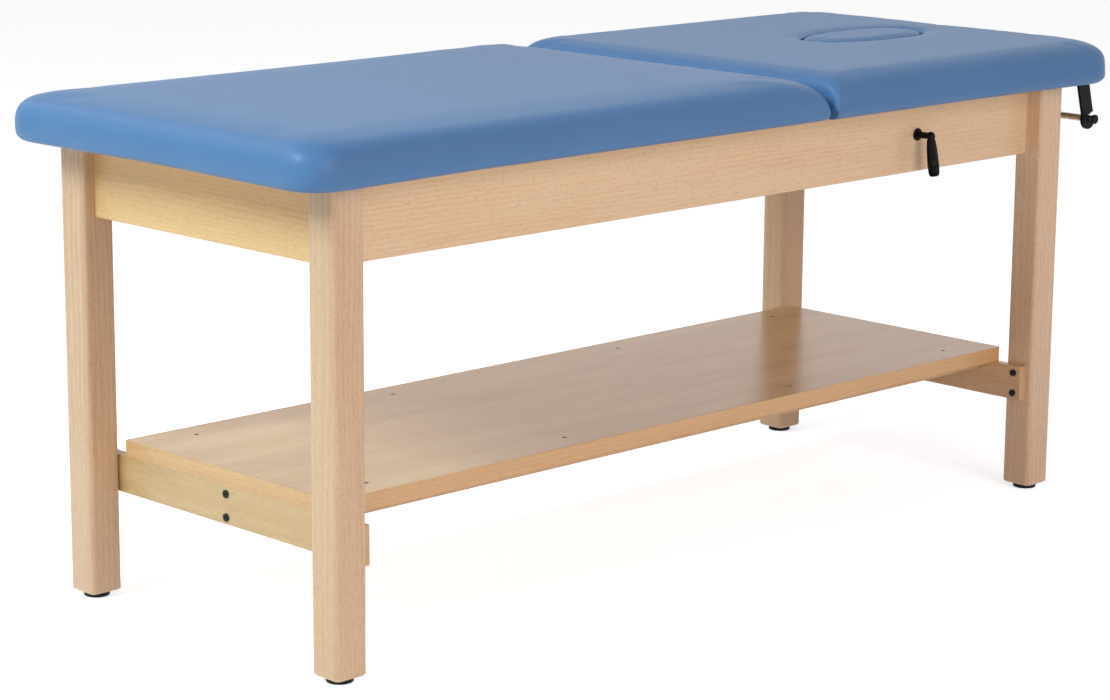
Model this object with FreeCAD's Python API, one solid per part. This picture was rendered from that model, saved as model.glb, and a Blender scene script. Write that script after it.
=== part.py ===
import FreeCAD, Part
import math
import os

# Treatment table with a lift-up back-rest: a beech frame with a shelf, an upholstered
# foot section fixed to the frame and an upholstered back-rest hinged to it.
# Millimetres. The head end is +X, the side with the lock lever is -Y, the floor is Z = 0,
# and the origin lies under the middle of the upholstery.

V = FreeCAD.Vector
tolerance = 1e-6

# Overall size
table_length = 1829.0
table_width = 724.0
table_height = 791.0

# Upholstery
pad_thickness = 73.0
pad_corner_radius = 53.0
break_corner_radius = 34.0
pad_side_draw = 2.0
pad_crown = 1.0
pad_top_round = 40.0
pad_bottom_round = 22.0
pad_skirt_lift = 0.6
back_rest_length = 753.0
break_end_round = 0.5
break_foot_round = 0.05
board_thickness = 15.0
board_inset = 25.0
board_corner_radius = 44.0
foam_clearance = 0.3

# Back-rest motion
tilt_limit = 55.0
tilt_clearance_angle = 1.2

# Frame
foot_overhang = 75.0
head_overhang = 102.0
side_overhang = 42.5
leg_section = 58.0
leg_edge_radius = 9.0
leg_foot_chamfer = 3.0
apron_height = 119.0
apron_thickness = 22.0
apron_edge_radius = 2.0
apron_setback_side = 34.0
apron_setback_end = 22.7
tenon_depth = 18.0
tenon_thickness = 10.0
tenon_height = 66.0
tenon_drop = 12.0
tenon_clearance = 0.15
corner_block_height = 54.0
corner_block_thickness = 20.0
corner_block_standoff = 24.0
corner_block_lift = 6.0
hinge_rail_thickness = 24.0
hinge_rail_height = 80.0
hinge_rail_setback = 14.0
rail_tenon_depth = 8.0
rail_tenon_margin = 12.0

# Floor glides
glide_diameter = 40.0
glide_height = 9.0
glide_edge = 1.5

# Base and shelf
shelf_top = 250.5
shelf_thickness = 25.5
shelf_side_gap = 16.0
shelf_edge_radius = 2.0
stretcher_height = 60.0
stretcher_thickness = 16.0
stretcher_end_setback = 14.5
stretcher_edge_radius = 2.5
centre_rail_thickness = 24.0
batten_width = 30.0
batten_thickness = 15.0
batten_end_gap = 0.4
shelf_screw_end_gap = 85.0
shelf_screw_pitch = 405.0
shelf_screw_edge_gap = 45.5
bolt_pitch = 36.0

# Fasteners
fastener_clearance = 0.06
cut_margin = 1.0
bolt_diameter = 6.0
bolt_head_diameter = 12.0
bolt_head_height = 2.5
bolt_socket_width = 4.0
bolt_socket_depth = 1.6
leg_bolt_length = 46.0
rail_bolt_length = 62.0
barrel_nut_diameter = 10.0
barrel_nut_length = 18.0
barrel_nut_reach = 42.0
wood_screw_diameter = 4.0
wood_screw_head = 8.0
wood_screw_head_height = 2.4
shelf_screw_length = 34.0
glide_screw_length = 28.0
glide_screw_recess = 3.0
corner_bolt_length = 70.0
leaf_screw_diameter = 3.0
leaf_screw_head = 5.0
leaf_screw_head_height = 1.0
leaf_screw_length = 11.0
bracket_screw_length = 13.0

# Board brackets under the foot section
board_bracket_leg = 26.0
board_bracket_width = 24.0
board_bracket_sheet = 2.0
board_bracket_inset = 22.0

# Long hinge across the break
hinge_end_gap = 45.0
hinge_barrel_diameter = 7.0
hinge_pin_diameter = 4.0
hinge_pin_clearance = 0.05
hinge_leaf_width = 30.0
hinge_leaf_thickness = 1.5
hinge_knuckles = 12
hinge_knuckle_gap = 0.4
hinge_screws_per_leaf = 7
hinge_board_clearance = 0.4

# Back-rest lock: a lever on the front apron clamps a curved slotted stay
lock_reach = 295.5
lock_drop = 57.0
lock_bolt_diameter = 6.0
lock_bolt_clearance = 0.05
lock_slot_clearance = 0.3
lock_plate_thickness = 3.0
lock_plate_width = 22.0
lock_plate_reach = 32.0
lock_plate_angle = -46.0
lock_spacer_diameter = 12.0
backing_plate_thickness = 2.0
lock_screw_length = 22.0
slide_clearance = 0.2
escutcheon_diameter = 21.0
escutcheon_thickness = 3.0
lever_hub_diameter = 11.0
lever_hub_length = 33.0
lever_knuckle_diameter = 15.0
lever_handle_length = 66.0
lever_root_width = 10.0
lever_neck_width = 12.5
lever_waist_width = 15.8
lever_handle_width = 18.0
lever_heel_width = 17.1
lever_tip_width = 14.4
lever_handle_depth = 13.0
lever_outward_lean = 9.0
lever_thread_depth = 24.0

# Curved stay, hung from the back-rest
stay_pivot_reach = 500.0
stay_pivot_drop = 40.0
stay_turn_ratio = 0.6
stay_width = 24.0
stay_thickness = 4.0
stay_pin_diameter = 8.0
stay_pin_head = 14.0
stay_pin_head_height = 2.5
stay_pin_clearance = 0.05
stay_bracket_width = 44.0
stay_bracket_sheet = 3.0
stay_bracket_flange = 38.0
stay_points = 9
slot_step = 0.001

# Face opening and its plug
plug_end_gap = 264.5
plug_half_length = 138.0
plug_half_width = 68.0
plug_end_radius = 48.0
plug_gap = 0.4
plug_rim_round = 12.0
plug_crown = 1.5
plug_crown_inset = 37.0
plug_ledge = 16.0
plug_base_thickness = 9.0
plug_lid_drop = 2.0

# Paper roll holder under the head end
holder_plate_inset = 48.0
holder_plate_thickness = 5.0
holder_bar_width = 29.0
holder_lobe_diameter = 37.0
holder_rod_inset = 22.0
holder_rod_drop = 68.0
holder_lean = 15.8
holder_slot_angle = 24.0
holder_flange = 38.0
holder_rod_diameter = 12.7
holder_rod_clearance = 0.08
holder_rod_overhang = 11.0
holder_cap_diameter = 16.5
holder_cap_thickness = 4.0
holder_cap_edge = 1.0

# Levels and lines that follow from the sizes above
pad_bottom = table_height - pad_thickness
board_top = pad_bottom + board_thickness
apron_bottom = pad_bottom - apron_height
shelf_bottom = shelf_top - shelf_thickness
stretcher_bottom = shelf_bottom - stretcher_height
break_x = table_length / 2 - back_rest_length
legs_centre_x = (foot_overhang - head_overhang) / 2
leg_spacing_x = table_length - foot_overhang - head_overhang - leg_section
leg_spacing_y = table_width - 2 * side_overhang - leg_section
leg_half = leg_section / 2
leg_inner_x = leg_spacing_x / 2 - leg_half
leg_inner_y = leg_spacing_y / 2 - leg_half
side_apron_face = leg_spacing_y / 2 + leg_half - apron_setback_side
side_apron_back = side_apron_face - apron_thickness
end_apron_face = leg_spacing_x / 2 + leg_half - apron_setback_end
end_apron_back = end_apron_face - apron_thickness
break_half_gap = hinge_barrel_diameter / 2 + hinge_board_clearance
hinge_z = board_top - hinge_barrel_diameter / 2
board_half_width = table_width / 2 - board_inset
shelf_half_width = leg_inner_y - shelf_side_gap
shelf_screw_row = shelf_half_width - shelf_screw_edge_gap
stretcher_half_length = leg_spacing_y / 2 + leg_half - stretcher_end_setback
hinge_length = 2 * (board_half_width - hinge_end_gap)
lock_x = break_x + lock_reach
lock_z = pad_bottom - lock_drop
plug_x = table_length / 2 - plug_end_gap
holder_plate_y = table_width / 2 - holder_plate_inset
holder_rod_x = table_length / 2 - holder_rod_inset
holder_rod_z = pad_bottom - holder_rod_drop
stay_plane = -side_apron_back + backing_plate_thickness + slide_clearance
ENDS = {"foot": -1, "head": 1}
SIDES = {"front": -1, "back": 1}

nodes = {}


def block(x0, x1, y0, y1, z0, z1):
    return Part.makeBox(x1 - x0, y1 - y0, z1 - z0, V(x0, y0, z0))


def rod(diameter, start, end):
    return Part.makeCylinder(diameter / 2, (end - start).Length, start, end - start)


def fuse(shapes):
    whole = shapes[0]
    for shape in shapes[1:]:
        whole = whole.fuse(shape)
    return whole.removeSplitter()


def straight_edges(shape, direction, where=lambda centre: True):
    """Straight edges along a direction whose middle passes a test."""
    found = []
    for edge in shape.Edges:
        if len(edge.Vertexes) != 2 or not isinstance(edge.Curve, Part.Line):
            continue
        along = edge.Vertexes[1].Point - edge.Vertexes[0].Point
        if abs(abs(along.normalize() * direction) - 1) < tolerance and where(edge.CenterOfMass):
            found.append(edge)
    return found


def turned(shape, angle, centre):
    """A copy swung in the XZ plane, from +X towards +Z, by an angle in degrees."""
    copy = shape.copy()
    copy.rotate(centre, V(0, -1, 0), angle)
    return copy


def fastener(place, direction, length, shank, head, head_height, countersunk, grow=0.0):
    """A screw or bolt whose head meets the surface at place; grow gives the hole that it fills."""
    aim = V(direction).normalize()
    stem = rod(shank + 2 * grow, place, place + aim * (length + grow))
    if countersunk:
        top = Part.makeCone(head / 2 + grow, shank / 2 + grow, head_height, place, aim)
    else:
        top = rod(head + 2 * grow, place - aim * head_height, place)
    return fuse([top, stem])


def holes_for(makers):
    return Part.makeCompound([make(fastener_clearance) for make in makers])


def screws_from(makers):
    return Part.makeCompound([make(0.0) for make in makers])


def leg_centre(end, side):
    return V(legs_centre_x + ENDS[end] * leg_spacing_x / 2, SIDES[side] * leg_spacing_y / 2, 0)


# Legs: square beech posts with rounded uprights, mortised for the aprons
def make_leg(end, side):
    centre = leg_centre(end, side)
    leg = block(centre.x - leg_half, centre.x + leg_half, centre.y - leg_half, centre.y + leg_half,
                glide_height, pad_bottom)
    leg = leg.makeFillet(leg_edge_radius, straight_edges(leg, V(0, 0, 1)))
    base = [edge for edge in leg.Edges if abs(edge.BoundBox.ZMax - glide_height) < tolerance]
    return leg.makeChamfer(leg_foot_chamfer, base)


# Tenons: stubs that join an apron to the legs, set down from the apron's top
def tenon_span():
    return pad_bottom - tenon_drop - tenon_height, pad_bottom - tenon_drop


def side_tenon(end, side, grow=0.0):
    low, high = tenon_span()
    inner = legs_centre_x + ENDS[end] * leg_inner_x
    tip = inner + ENDS[end] * (tenon_depth + grow)
    middle = SIDES[side] * (side_apron_face - apron_thickness / 2)
    half = tenon_thickness / 2 + grow
    return block(min(inner, tip), max(inner, tip), middle - half, middle + half, low - grow, high + grow)


def end_tenon(end, side, grow=0.0):
    low, high = tenon_span()
    inner = SIDES[side] * leg_inner_y
    tip = inner + SIDES[side] * (tenon_depth + grow)
    middle = legs_centre_x + ENDS[end] * (end_apron_face - apron_thickness / 2)
    half = tenon_thickness / 2 + grow
    return block(middle - half, middle + half, min(inner, tip), max(inner, tip), low - grow, high + grow)


for end in ENDS:
    for side in SIDES:
        leg = make_leg(end, side)
        leg = leg.cut(side_tenon(end, side, tenon_clearance))
        nodes["leg_%s_%s" % (end, side)] = leg.cut(end_tenon(end, side, tenon_clearance))


# Floor glides: rubber discs held by a screw up into the leg
def glide_screw(end, side):
    head = leg_centre(end, side) + V(0, 0, glide_screw_recess)
    return lambda grow: fastener(head, V(0, 0, 1), glide_screw_length, wood_screw_diameter,
                                 wood_screw_head, wood_screw_head_height, True, grow)


glide_makers = []
for end in ENDS:
    for side in SIDES:
        centre = leg_centre(end, side)
        maker = glide_screw(end, side)
        glide_makers.append(maker)
        disc = rod(glide_diameter, centre, centre + V(0, 0, glide_height))
        rim = [edge for edge in disc.Edges if abs(edge.BoundBox.ZMax) < tolerance]
        disc = disc.makeFillet(glide_edge, rim)
        recess = rod(wood_screw_head + 2 * fastener_clearance, centre, centre + V(0, 0, glide_screw_recess))
        nodes["glide_%s_%s" % (end, side)] = disc.cut(recess).cut(maker(fastener_clearance))
        leg_name = "leg_%s_%s" % (end, side)
        nodes[leg_name] = nodes[leg_name].cut(maker(fastener_clearance))
nodes["glide_screws"] = screws_from(glide_makers)


# Hinge rail: crosses the frame under the break and carries the foot board's end
hinge_rail_x1 = break_x - hinge_rail_setback
hinge_rail_x0 = hinge_rail_x1 - hinge_rail_thickness


def rail_tenon(side, grow=0.0):
    face = SIDES[side] * side_apron_back
    tip = face + SIDES[side] * (rail_tenon_depth + grow)
    return block(hinge_rail_x0 + rail_tenon_margin / 2 - grow, hinge_rail_x1 - rail_tenon_margin / 2 + grow,
                 min(face, tip), max(face, tip),
                 pad_bottom - hinge_rail_height + rail_tenon_margin - grow,
                 pad_bottom - rail_tenon_margin + grow)


hinge_rail = block(hinge_rail_x0, hinge_rail_x1, -side_apron_back, side_apron_back,
                   pad_bottom - hinge_rail_height, pad_bottom)
nodes["hinge_rail"] = fuse([hinge_rail] + [rail_tenon(side) for side in SIDES])


# Side aprons: between the legs, set back from their outer faces
def rounded_under(apron, direction):
    low = straight_edges(apron, direction, lambda centre: abs(centre.z - apron_bottom) < tolerance)
    return apron.makeFillet(apron_edge_radius, low)


for side in SIDES:
    face = SIDES[side] * side_apron_face
    back = SIDES[side] * side_apron_back
    apron = block(legs_centre_x - leg_inner_x, legs_centre_x + leg_inner_x, min(face, back), max(face, back),
                  apron_bottom, pad_bottom)
    apron = rounded_under(apron, V(1, 0, 0))
    apron = fuse([apron] + [side_tenon(end, side) for end in ENDS])
    nodes["apron_%s" % side] = apron.cut(rail_tenon(side, tenon_clearance))

for end in ENDS:
    face = legs_centre_x + ENDS[end] * end_apron_face
    back = legs_centre_x + ENDS[end] * end_apron_back
    apron = block(min(face, back), max(face, back), -leg_inner_y, leg_inner_y, apron_bottom, pad_bottom)
    apron = rounded_under(apron, V(0, 1, 0))
    nodes["apron_%s" % end] = fuse([apron] + [end_tenon(end, side) for side in SIDES])


# Corner blocks: mitred across each corner behind the leg, drawn up to it by one bolt
corner_block_low = apron_bottom + corner_block_lift
corner_bolt_z = corner_block_low + corner_block_height / 3


def corner_block(end, side):
    x = legs_centre_x + ENDS[end] * end_apron_back
    y = SIDES[side] * side_apron_back
    near = corner_block_standoff
    far = near + corner_block_thickness * math.sqrt(2)
    outline = [V(x - ENDS[end] * near, y, corner_block_low), V(x, y - SIDES[side] * near, corner_block_low),
               V(x, y - SIDES[side] * far, corner_block_low), V(x - ENDS[end] * far, y, corner_block_low)]
    return Part.Face(Part.makePolygon(outline + outline[:1])).extrude(V(0, 0, corner_block_height))


def corner_bolt(end, side):
    """Crosses the block square to its face and passes midway between the two aprons' inner ends."""
    reach = corner_block_standoff + corner_block_thickness * math.sqrt(2)
    both = end_apron_back + side_apron_back - reach
    apart = (leg_inner_x - side_apron_back + end_apron_back - leg_inner_y) / 2
    start = V(legs_centre_x + ENDS[end] * (both + apart) / 2, SIDES[side] * (both - apart) / 2, corner_bolt_z)
    return lambda grow: fastener(start, V(ENDS[end], SIDES[side], 0), corner_bolt_length, bolt_diameter,
                                 bolt_head_diameter, bolt_head_height, False, grow)


corner_makers = []
for end in ENDS:
    for side in SIDES:
        maker = corner_bolt(end, side)
        corner_makers.append(maker)
        nodes["corner_block_%s_%s" % (end, side)] = corner_block(end, side).cut(maker(fastener_clearance))
        for crossed in ("leg_%s_%s" % (end, side), "apron_%s" % end, "apron_%s" % side):
            nodes[crossed] = nodes[crossed].cut(maker(fastener_clearance))
nodes["corner_bolts"] = screws_from(corner_makers)


# Base: an end stretcher bolted to the inner faces of each pair of legs, and one rail between them
stretcher_middle = stretcher_bottom + stretcher_height / 2
bolt_levels = (stretcher_middle - bolt_pitch / 2, stretcher_middle + bolt_pitch / 2)


def socket_bolt(place, direction, length):
    """A flat-headed bolt with a hexagon socket; the hole for it leaves the socket out."""
    aim = V(direction).normalize()

    def make(grow):
        bolt = fastener(place, aim, length, bolt_diameter, bolt_head_diameter, bolt_head_height, False, grow)
        if grow:
            return bolt
        across = aim.cross(V(0, 0, 1))
        crown = place - aim * bolt_head_height
        corners = []
        for step in range(7):
            turn = math.radians(60 * step)
            spoke = across * math.cos(turn) + V(0, 0, math.sin(turn))
            corners.append(crown + spoke * (bolt_socket_width / 2))
        socket = Part.Face(Part.makePolygon(corners)).extrude(aim * bolt_socket_depth)
        return bolt.cut(socket)
    return make


leg_bolts = []
rail_bolts = []
barrel_nuts = []
rail_half = leg_inner_x - stretcher_thickness
for end in ENDS:
    outer = legs_centre_x + ENDS[end] * leg_inner_x
    inner = outer - ENDS[end] * stretcher_thickness
    board = block(min(inner, outer), max(inner, outer), -stretcher_half_length, stretcher_half_length,
                  stretcher_bottom, shelf_bottom)
    low = straight_edges(board, V(0, 1, 0), lambda centre: abs(centre.z - stretcher_bottom) < tolerance)
    board = board.makeFillet(stretcher_edge_radius, low)
    for level in bolt_levels:
        for side in SIDES:
            maker = socket_bolt(V(inner, leg_centre(end, side).y, level), V(ENDS[end], 0, 0), leg_bolt_length)
            leg_bolts.append(maker)
            board = board.cut(maker(fastener_clearance))
            leg_name = "leg_%s_%s" % (end, side)
            nodes[leg_name] = nodes[leg_name].cut(maker(fastener_clearance))
        maker = socket_bolt(V(outer, 0, level), V(-ENDS[end], 0, 0), rail_bolt_length)
        rail_bolts.append(maker)
        board = board.cut(maker(fastener_clearance))
        nut_centre = V(outer - ENDS[end] * (stretcher_thickness + barrel_nut_reach), 0, level)
        half = V(0, barrel_nut_length / 2, 0)
        barrel_nuts.append((nut_centre - half, nut_centre + half))
    nodes["stretcher_%s" % end] = board
nodes["stretcher_bolts"] = screws_from(leg_bolts)
nodes["centre_rail_bolts"] = screws_from(rail_bolts)

centre_rail = block(legs_centre_x - rail_half, legs_centre_x + rail_half, -centre_rail_thickness / 2,
                    centre_rail_thickness / 2, stretcher_bottom, shelf_bottom)
centre_rail = centre_rail.cut(holes_for(rail_bolts))
nut_solids = []
for start, finish in barrel_nuts:
    reach = V(0, fastener_clearance, 0)
    pocket = rod(barrel_nut_diameter + 2 * fastener_clearance, start - reach, finish + reach)
    centre_rail = centre_rail.cut(pocket)
    nut_solids.append(rod(barrel_nut_diameter, start, finish).cut(holes_for(rail_bolts)))
nodes["centre_rail"] = centre_rail
nodes["centre_rail_nuts"] = Part.makeCompound(nut_solids)


# Shelf: a veneered board on the stretchers, stiffened by two battens screwed from above
shelf = block(legs_centre_x - leg_inner_x, legs_centre_x + leg_inner_x, -shelf_half_width, shelf_half_width,
              shelf_bottom, shelf_top)
shelf = shelf.makeFillet(shelf_edge_radius, straight_edges(shelf, V(1, 0, 0)))
shelf_makers = []
outer_column = rail_half - shelf_screw_end_gap
for column in (outer_column, outer_column - shelf_screw_pitch):
    for end in ENDS:
        for side in SIDES:
            head = V(legs_centre_x + ENDS[end] * column, SIDES[side] * shelf_screw_row, shelf_top)
            shelf_makers.append(lambda grow, head=head: fastener(
                head, V(0, 0, -1), shelf_screw_length, wood_screw_diameter, wood_screw_head,
                wood_screw_head_height, True, grow))
shelf_holes = holes_for(shelf_makers)
nodes["shelf"] = shelf.cut(shelf_holes)
nodes["shelf_screws"] = screws_from(shelf_makers)
for side in SIDES:
    middle = SIDES[side] * shelf_screw_row
    reach = rail_half - batten_end_gap
    batten = block(legs_centre_x - reach, legs_centre_x + reach, middle - batten_width / 2,
                   middle + batten_width / 2, shelf_bottom - batten_thickness, shelf_bottom)
    nodes["shelf_batten_%s" % side] = batten.cut(shelf_holes)


# Cushions: foam and vinyl over a plywood board, lofted through level outlines whose sides
# are drawn in between the corners, with a crowned top and a rounded rim
def drawn_outline(x0, x1, half_width, z, radius0, radius1, draw):
    """Level outline: corners are arcs, sides are shallow arcs drawn in at their middle."""
    slack = 1 - math.sqrt(0.5)

    def corner(x, y, sx, sy, radius, forward):
        a = V(x - sx * radius, y, z)
        m = V(x - sx * radius * slack, y - sy * radius * slack, z)
        b = V(x, y - sy * radius, z)
        return Part.Arc(a, m, b) if forward else Part.Arc(b, m, a)

    middle = (x0 + radius0 + x1 - radius1) / 2
    curves = [
        Part.Arc(V(x0 + radius0, -half_width, z), V(middle, -half_width + draw, z),
                 V(x1 - radius1, -half_width, z)),
        corner(x1, -half_width, 1, -1, radius1, True),
        Part.Arc(V(x1, -half_width + radius1, z), V(x1 - draw, 0, z), V(x1, half_width - radius1, z)),
        corner(x1, half_width, 1, 1, radius1, False),
        Part.Arc(V(x1 - radius1, half_width, z), V(middle, half_width - draw, z),
                 V(x0 + radius0, half_width, z)),
        corner(x0, half_width, -1, 1, radius0, True),
        Part.Arc(V(x0, half_width - radius0, z), V(x0 + draw, 0, z), V(x0, -half_width + radius0, z)),
        corner(x0, -half_width, -1, -1, radius0, False),
    ]
    return Part.Wire([curve.toShape() for curve in curves])


def rim_profile():
    """Inset from the pad's outer edge at each level, from the underside to the crown."""
    low = pad_bottom + pad_skirt_lift
    shoulder = table_height - pad_crown - pad_top_round
    levels = []
    for turn in (90, 55, 25):
        sweep = math.radians(turn)
        levels.append((pad_bottom_round * (1 - math.cos(sweep)),
                       low + pad_bottom_round * (1 - math.sin(sweep))))
    for turn in (0, 12, 24, 36, 48, 60, 71, 80):
        sweep = math.radians(turn)
        levels.append((pad_top_round * (1 - math.cos(sweep)), shoulder + pad_top_round * math.sin(sweep)))
    rim = levels[-1][0]
    middle = table_width / 2
    rise = table_height - levels[-1][1]
    crown_shares = (0.1, 0.25, 0.45, 0.75)
    flat = 1 - (1 - crown_shares[-1]) ** 2
    brim = levels[-1][1]
    for share in crown_shares:
        levels.append((rim + (middle - rim) * share, brim + rise * (1 - (1 - share) ** 2) / flat))
    return levels


def break_recess(z):
    """How far the end at the break stands back, so that the raised back-rest clears it."""
    half_turn = math.radians(tilt_limit / 2 + tilt_clearance_angle)
    return max(0.0, (z - hinge_z) * math.tan(half_turn) - break_half_gap)


def round_end(shape, x, radius):
    """Rounds the two upright corners at one end of a level board."""
    upright = []
    for edge in shape.Edges:
        low, high = edge.Vertexes[0].Point, edge.Vertexes[1].Point
        at_end = abs(low.x - x) < tolerance and abs(high.x - x) < tolerance
        if at_end and abs(low.y - high.y) < tolerance:
            upright.append(edge)
    return shape.makeFillet(radius, upright)


def make_cushion(outer_x, inner_x):
    """One pad between its outer end and its end at the break, hollowed for its board."""
    toward = 1 if inner_x > outer_x else -1
    shoulder = table_height - pad_crown - pad_top_round
    outlines = []
    for inset, z in rim_profile():
        outer = outer_x + toward * inset
        end_share = break_end_round if z > shoulder else break_foot_round
        inner = inner_x - toward * (break_recess(z) + end_share * inset)
        outer_radius = max(pad_corner_radius - inset / 2, pad_corner_radius / 2)
        inner_radius = max(break_corner_radius - inset / 4, break_corner_radius / 2)
        if toward > 0:
            ends = (outer, inner, outer_radius, inner_radius)
        else:
            ends = (inner, outer, inner_radius, outer_radius)
        outlines.append(drawn_outline(ends[0], ends[1], table_width / 2 - inset, z, ends[2], ends[3],
                                      pad_side_draw))
    pad = Part.makeLoft(outlines, True, True)
    board_end = outer_x + toward * (board_inset - foam_clearance)
    past = inner_x + toward * pad_top_round
    hollow_half = board_half_width + foam_clearance
    hollow = block(min(board_end, past), max(board_end, past), -hollow_half, hollow_half,
                   pad_bottom, board_top + foam_clearance)
    return pad.cut(round_end(hollow, board_end, board_corner_radius + foam_clearance))


foot_end = -table_length / 2
head_end = table_length / 2
foot_break = break_x - break_half_gap
back_break = break_x + break_half_gap
foot_board = block(foot_end + board_inset, foot_break, -board_half_width, board_half_width,
                   pad_bottom, board_top)
foot_board = round_end(foot_board, foot_end + board_inset, board_corner_radius)
foot_board = round_end(foot_board, foot_break, break_corner_radius)
back_board = block(back_break, head_end - board_inset, -board_half_width, board_half_width,
                   pad_bottom, board_top)
back_board = round_end(back_board, head_end - board_inset, board_corner_radius)
back_board = round_end(back_board, back_break, break_corner_radius)
nodes["foot_cushion"] = make_cushion(foot_end, foot_break)
back_cushion = make_cushion(head_end, back_break)


# Face opening: an oval hole through the back-rest's pad, closed by a padded plug on a ledge
def oval(half_length, half_width, end_radius, z):
    """Four tangent arcs about the plug's middle."""
    side_radius = (half_length ** 2 + half_width ** 2 - 2 * half_length * end_radius)
    side_radius = side_radius / (2 * (half_width - end_radius))
    lean = math.atan2(half_length - end_radius, side_radius - half_width)
    sx = half_length - end_radius + end_radius * math.sin(lean)
    sy = end_radius * math.cos(lean)
    points = [V(plug_x + x, y, z) for x, y in (
        (-sx, -sy), (0, -half_width), (sx, -sy), (half_length, 0),
        (sx, sy), (0, half_width), (-sx, sy), (-half_length, 0))]
    arcs = [Part.Arc(points[i], points[i + 1], points[(i + 2) % 8]) for i in (0, 2, 4, 6)]
    return Part.Wire([arc.toShape() for arc in arcs])


def oval_loft(levels):
    wires = []
    for grow, z in levels:
        wires.append(oval(plug_half_length + grow, plug_half_width + grow, plug_end_radius + grow, z))
    return Part.makeLoft(wires, True, True)


def rim_flare(turn):
    sweep = math.radians(turn)
    return plug_rim_round * (1 - math.cos(sweep)), plug_rim_round * math.sin(sweep)


rim_start = table_height - plug_rim_round
hole_levels = [(0.0, board_top - pad_skirt_lift), (0.0, (board_top + rim_start) / 2), (0.0, rim_start)]
plug_levels = [(-plug_gap, board_top + foam_clearance + plug_base_thickness)]
plug_levels.append((-plug_gap, (board_top + rim_start) / 2))
plug_levels.append((-plug_gap, rim_start - plug_lid_drop))
for turn in (20, 40, 60, 75, 88):
    flare, rise = rim_flare(turn)
    hole_levels.append((flare, rim_start + rise))
    plug_levels.append((-plug_gap - flare, rim_start - plug_lid_drop + rise))
hole_levels.append((plug_rim_round + cut_margin, table_height + cut_margin))
plug_levels.append((-plug_crown_inset, table_height - plug_lid_drop + plug_crown))
nodes["back_cushion"] = back_cushion.cut(oval_loft(hole_levels))
nodes["face_plug_cushion"] = oval_loft(plug_levels)
plug_base_wire = oval(plug_half_length - plug_gap, plug_half_width - plug_gap, plug_end_radius - plug_gap,
                      board_top)
nodes["face_plug_base"] = Part.Face(plug_base_wire).extrude(V(0, 0, plug_base_thickness))
ledge_wire = oval(plug_half_length - plug_ledge, plug_half_width - plug_ledge, plug_end_radius - plug_ledge,
                  pad_bottom)
back_board = back_board.cut(Part.Face(ledge_wire).extrude(V(0, 0, board_thickness)))


# Long hinge: both leaves are let into the boards' tops, with the barrel in the gap between the boards
knuckle_pitch = hinge_length / hinge_knuckles


def hinge_leaf(toward):
    """A leaf to one side of the break, with every other knuckle of the barrel."""
    near = break_x
    far = break_x + toward * (break_half_gap + hinge_leaf_width)
    leaf = block(min(near, far), max(near, far), -hinge_length / 2, hinge_length / 2,
                 board_top - hinge_leaf_thickness, board_top)
    axis_start = V(break_x, -hinge_length / 2, hinge_z)
    bore = rod(hinge_pin_diameter + 2 * hinge_pin_clearance, axis_start, axis_start + V(0, hinge_length, 0))
    barrel = rod(hinge_barrel_diameter, axis_start, axis_start + V(0, hinge_length, 0))
    leaf = fuse([leaf, barrel])
    first = 0 if toward < 0 else 1
    for index in range(hinge_knuckles):
        if index % 2 != first:
            low = -hinge_length / 2 + index * knuckle_pitch
            reach = break_half_gap - hinge_board_clearance / 2
            leaf = leaf.cut(block(break_x - reach, break_x + reach, low - hinge_knuckle_gap / 2,
                                  low + knuckle_pitch + hinge_knuckle_gap / 2,
                                  hinge_z - hinge_barrel_diameter, hinge_z + hinge_barrel_diameter))
    return leaf.cut(bore)


def leaf_pocket(toward):
    far = break_x + toward * (break_half_gap + hinge_leaf_width + fastener_clearance)
    half = hinge_length / 2 + fastener_clearance
    return block(min(break_x, far), max(break_x, far), -half, half,
                 board_top - hinge_leaf_thickness - fastener_clearance, board_top)


def leaf_screws(toward):
    makers = []
    x = break_x + toward * (break_half_gap + hinge_leaf_width / 2)
    pitch = hinge_length / hinge_screws_per_leaf
    for index in range(hinge_screws_per_leaf):
        y = -hinge_length / 2 + (index + 0.5) * pitch
        makers.append(lambda grow, y=y: fastener(
            V(x, y, board_top), V(0, 0, -1), leaf_screw_length, leaf_screw_diameter, leaf_screw_head,
            leaf_screw_head_height, True, grow))
    return makers


fixed_makers = leaf_screws(-1)
moving_makers = leaf_screws(1)
nodes["hinge_leaf_fixed"] = hinge_leaf(-1).cut(holes_for(fixed_makers))
nodes["hinge_leaf_moving"] = hinge_leaf(1).cut(holes_for(moving_makers))
nodes["hinge_screws_fixed"] = screws_from(fixed_makers)
nodes["hinge_screws_moving"] = screws_from(moving_makers)
foot_board = foot_board.cut(leaf_pocket(-1)).cut(holes_for(fixed_makers))
back_board = back_board.cut(leaf_pocket(1)).cut(holes_for(moving_makers))
nodes["hinge_pin"] = rod(hinge_pin_diameter, V(break_x, -hinge_length / 2, hinge_z),
                         V(break_x, hinge_length / 2, hinge_z))


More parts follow.
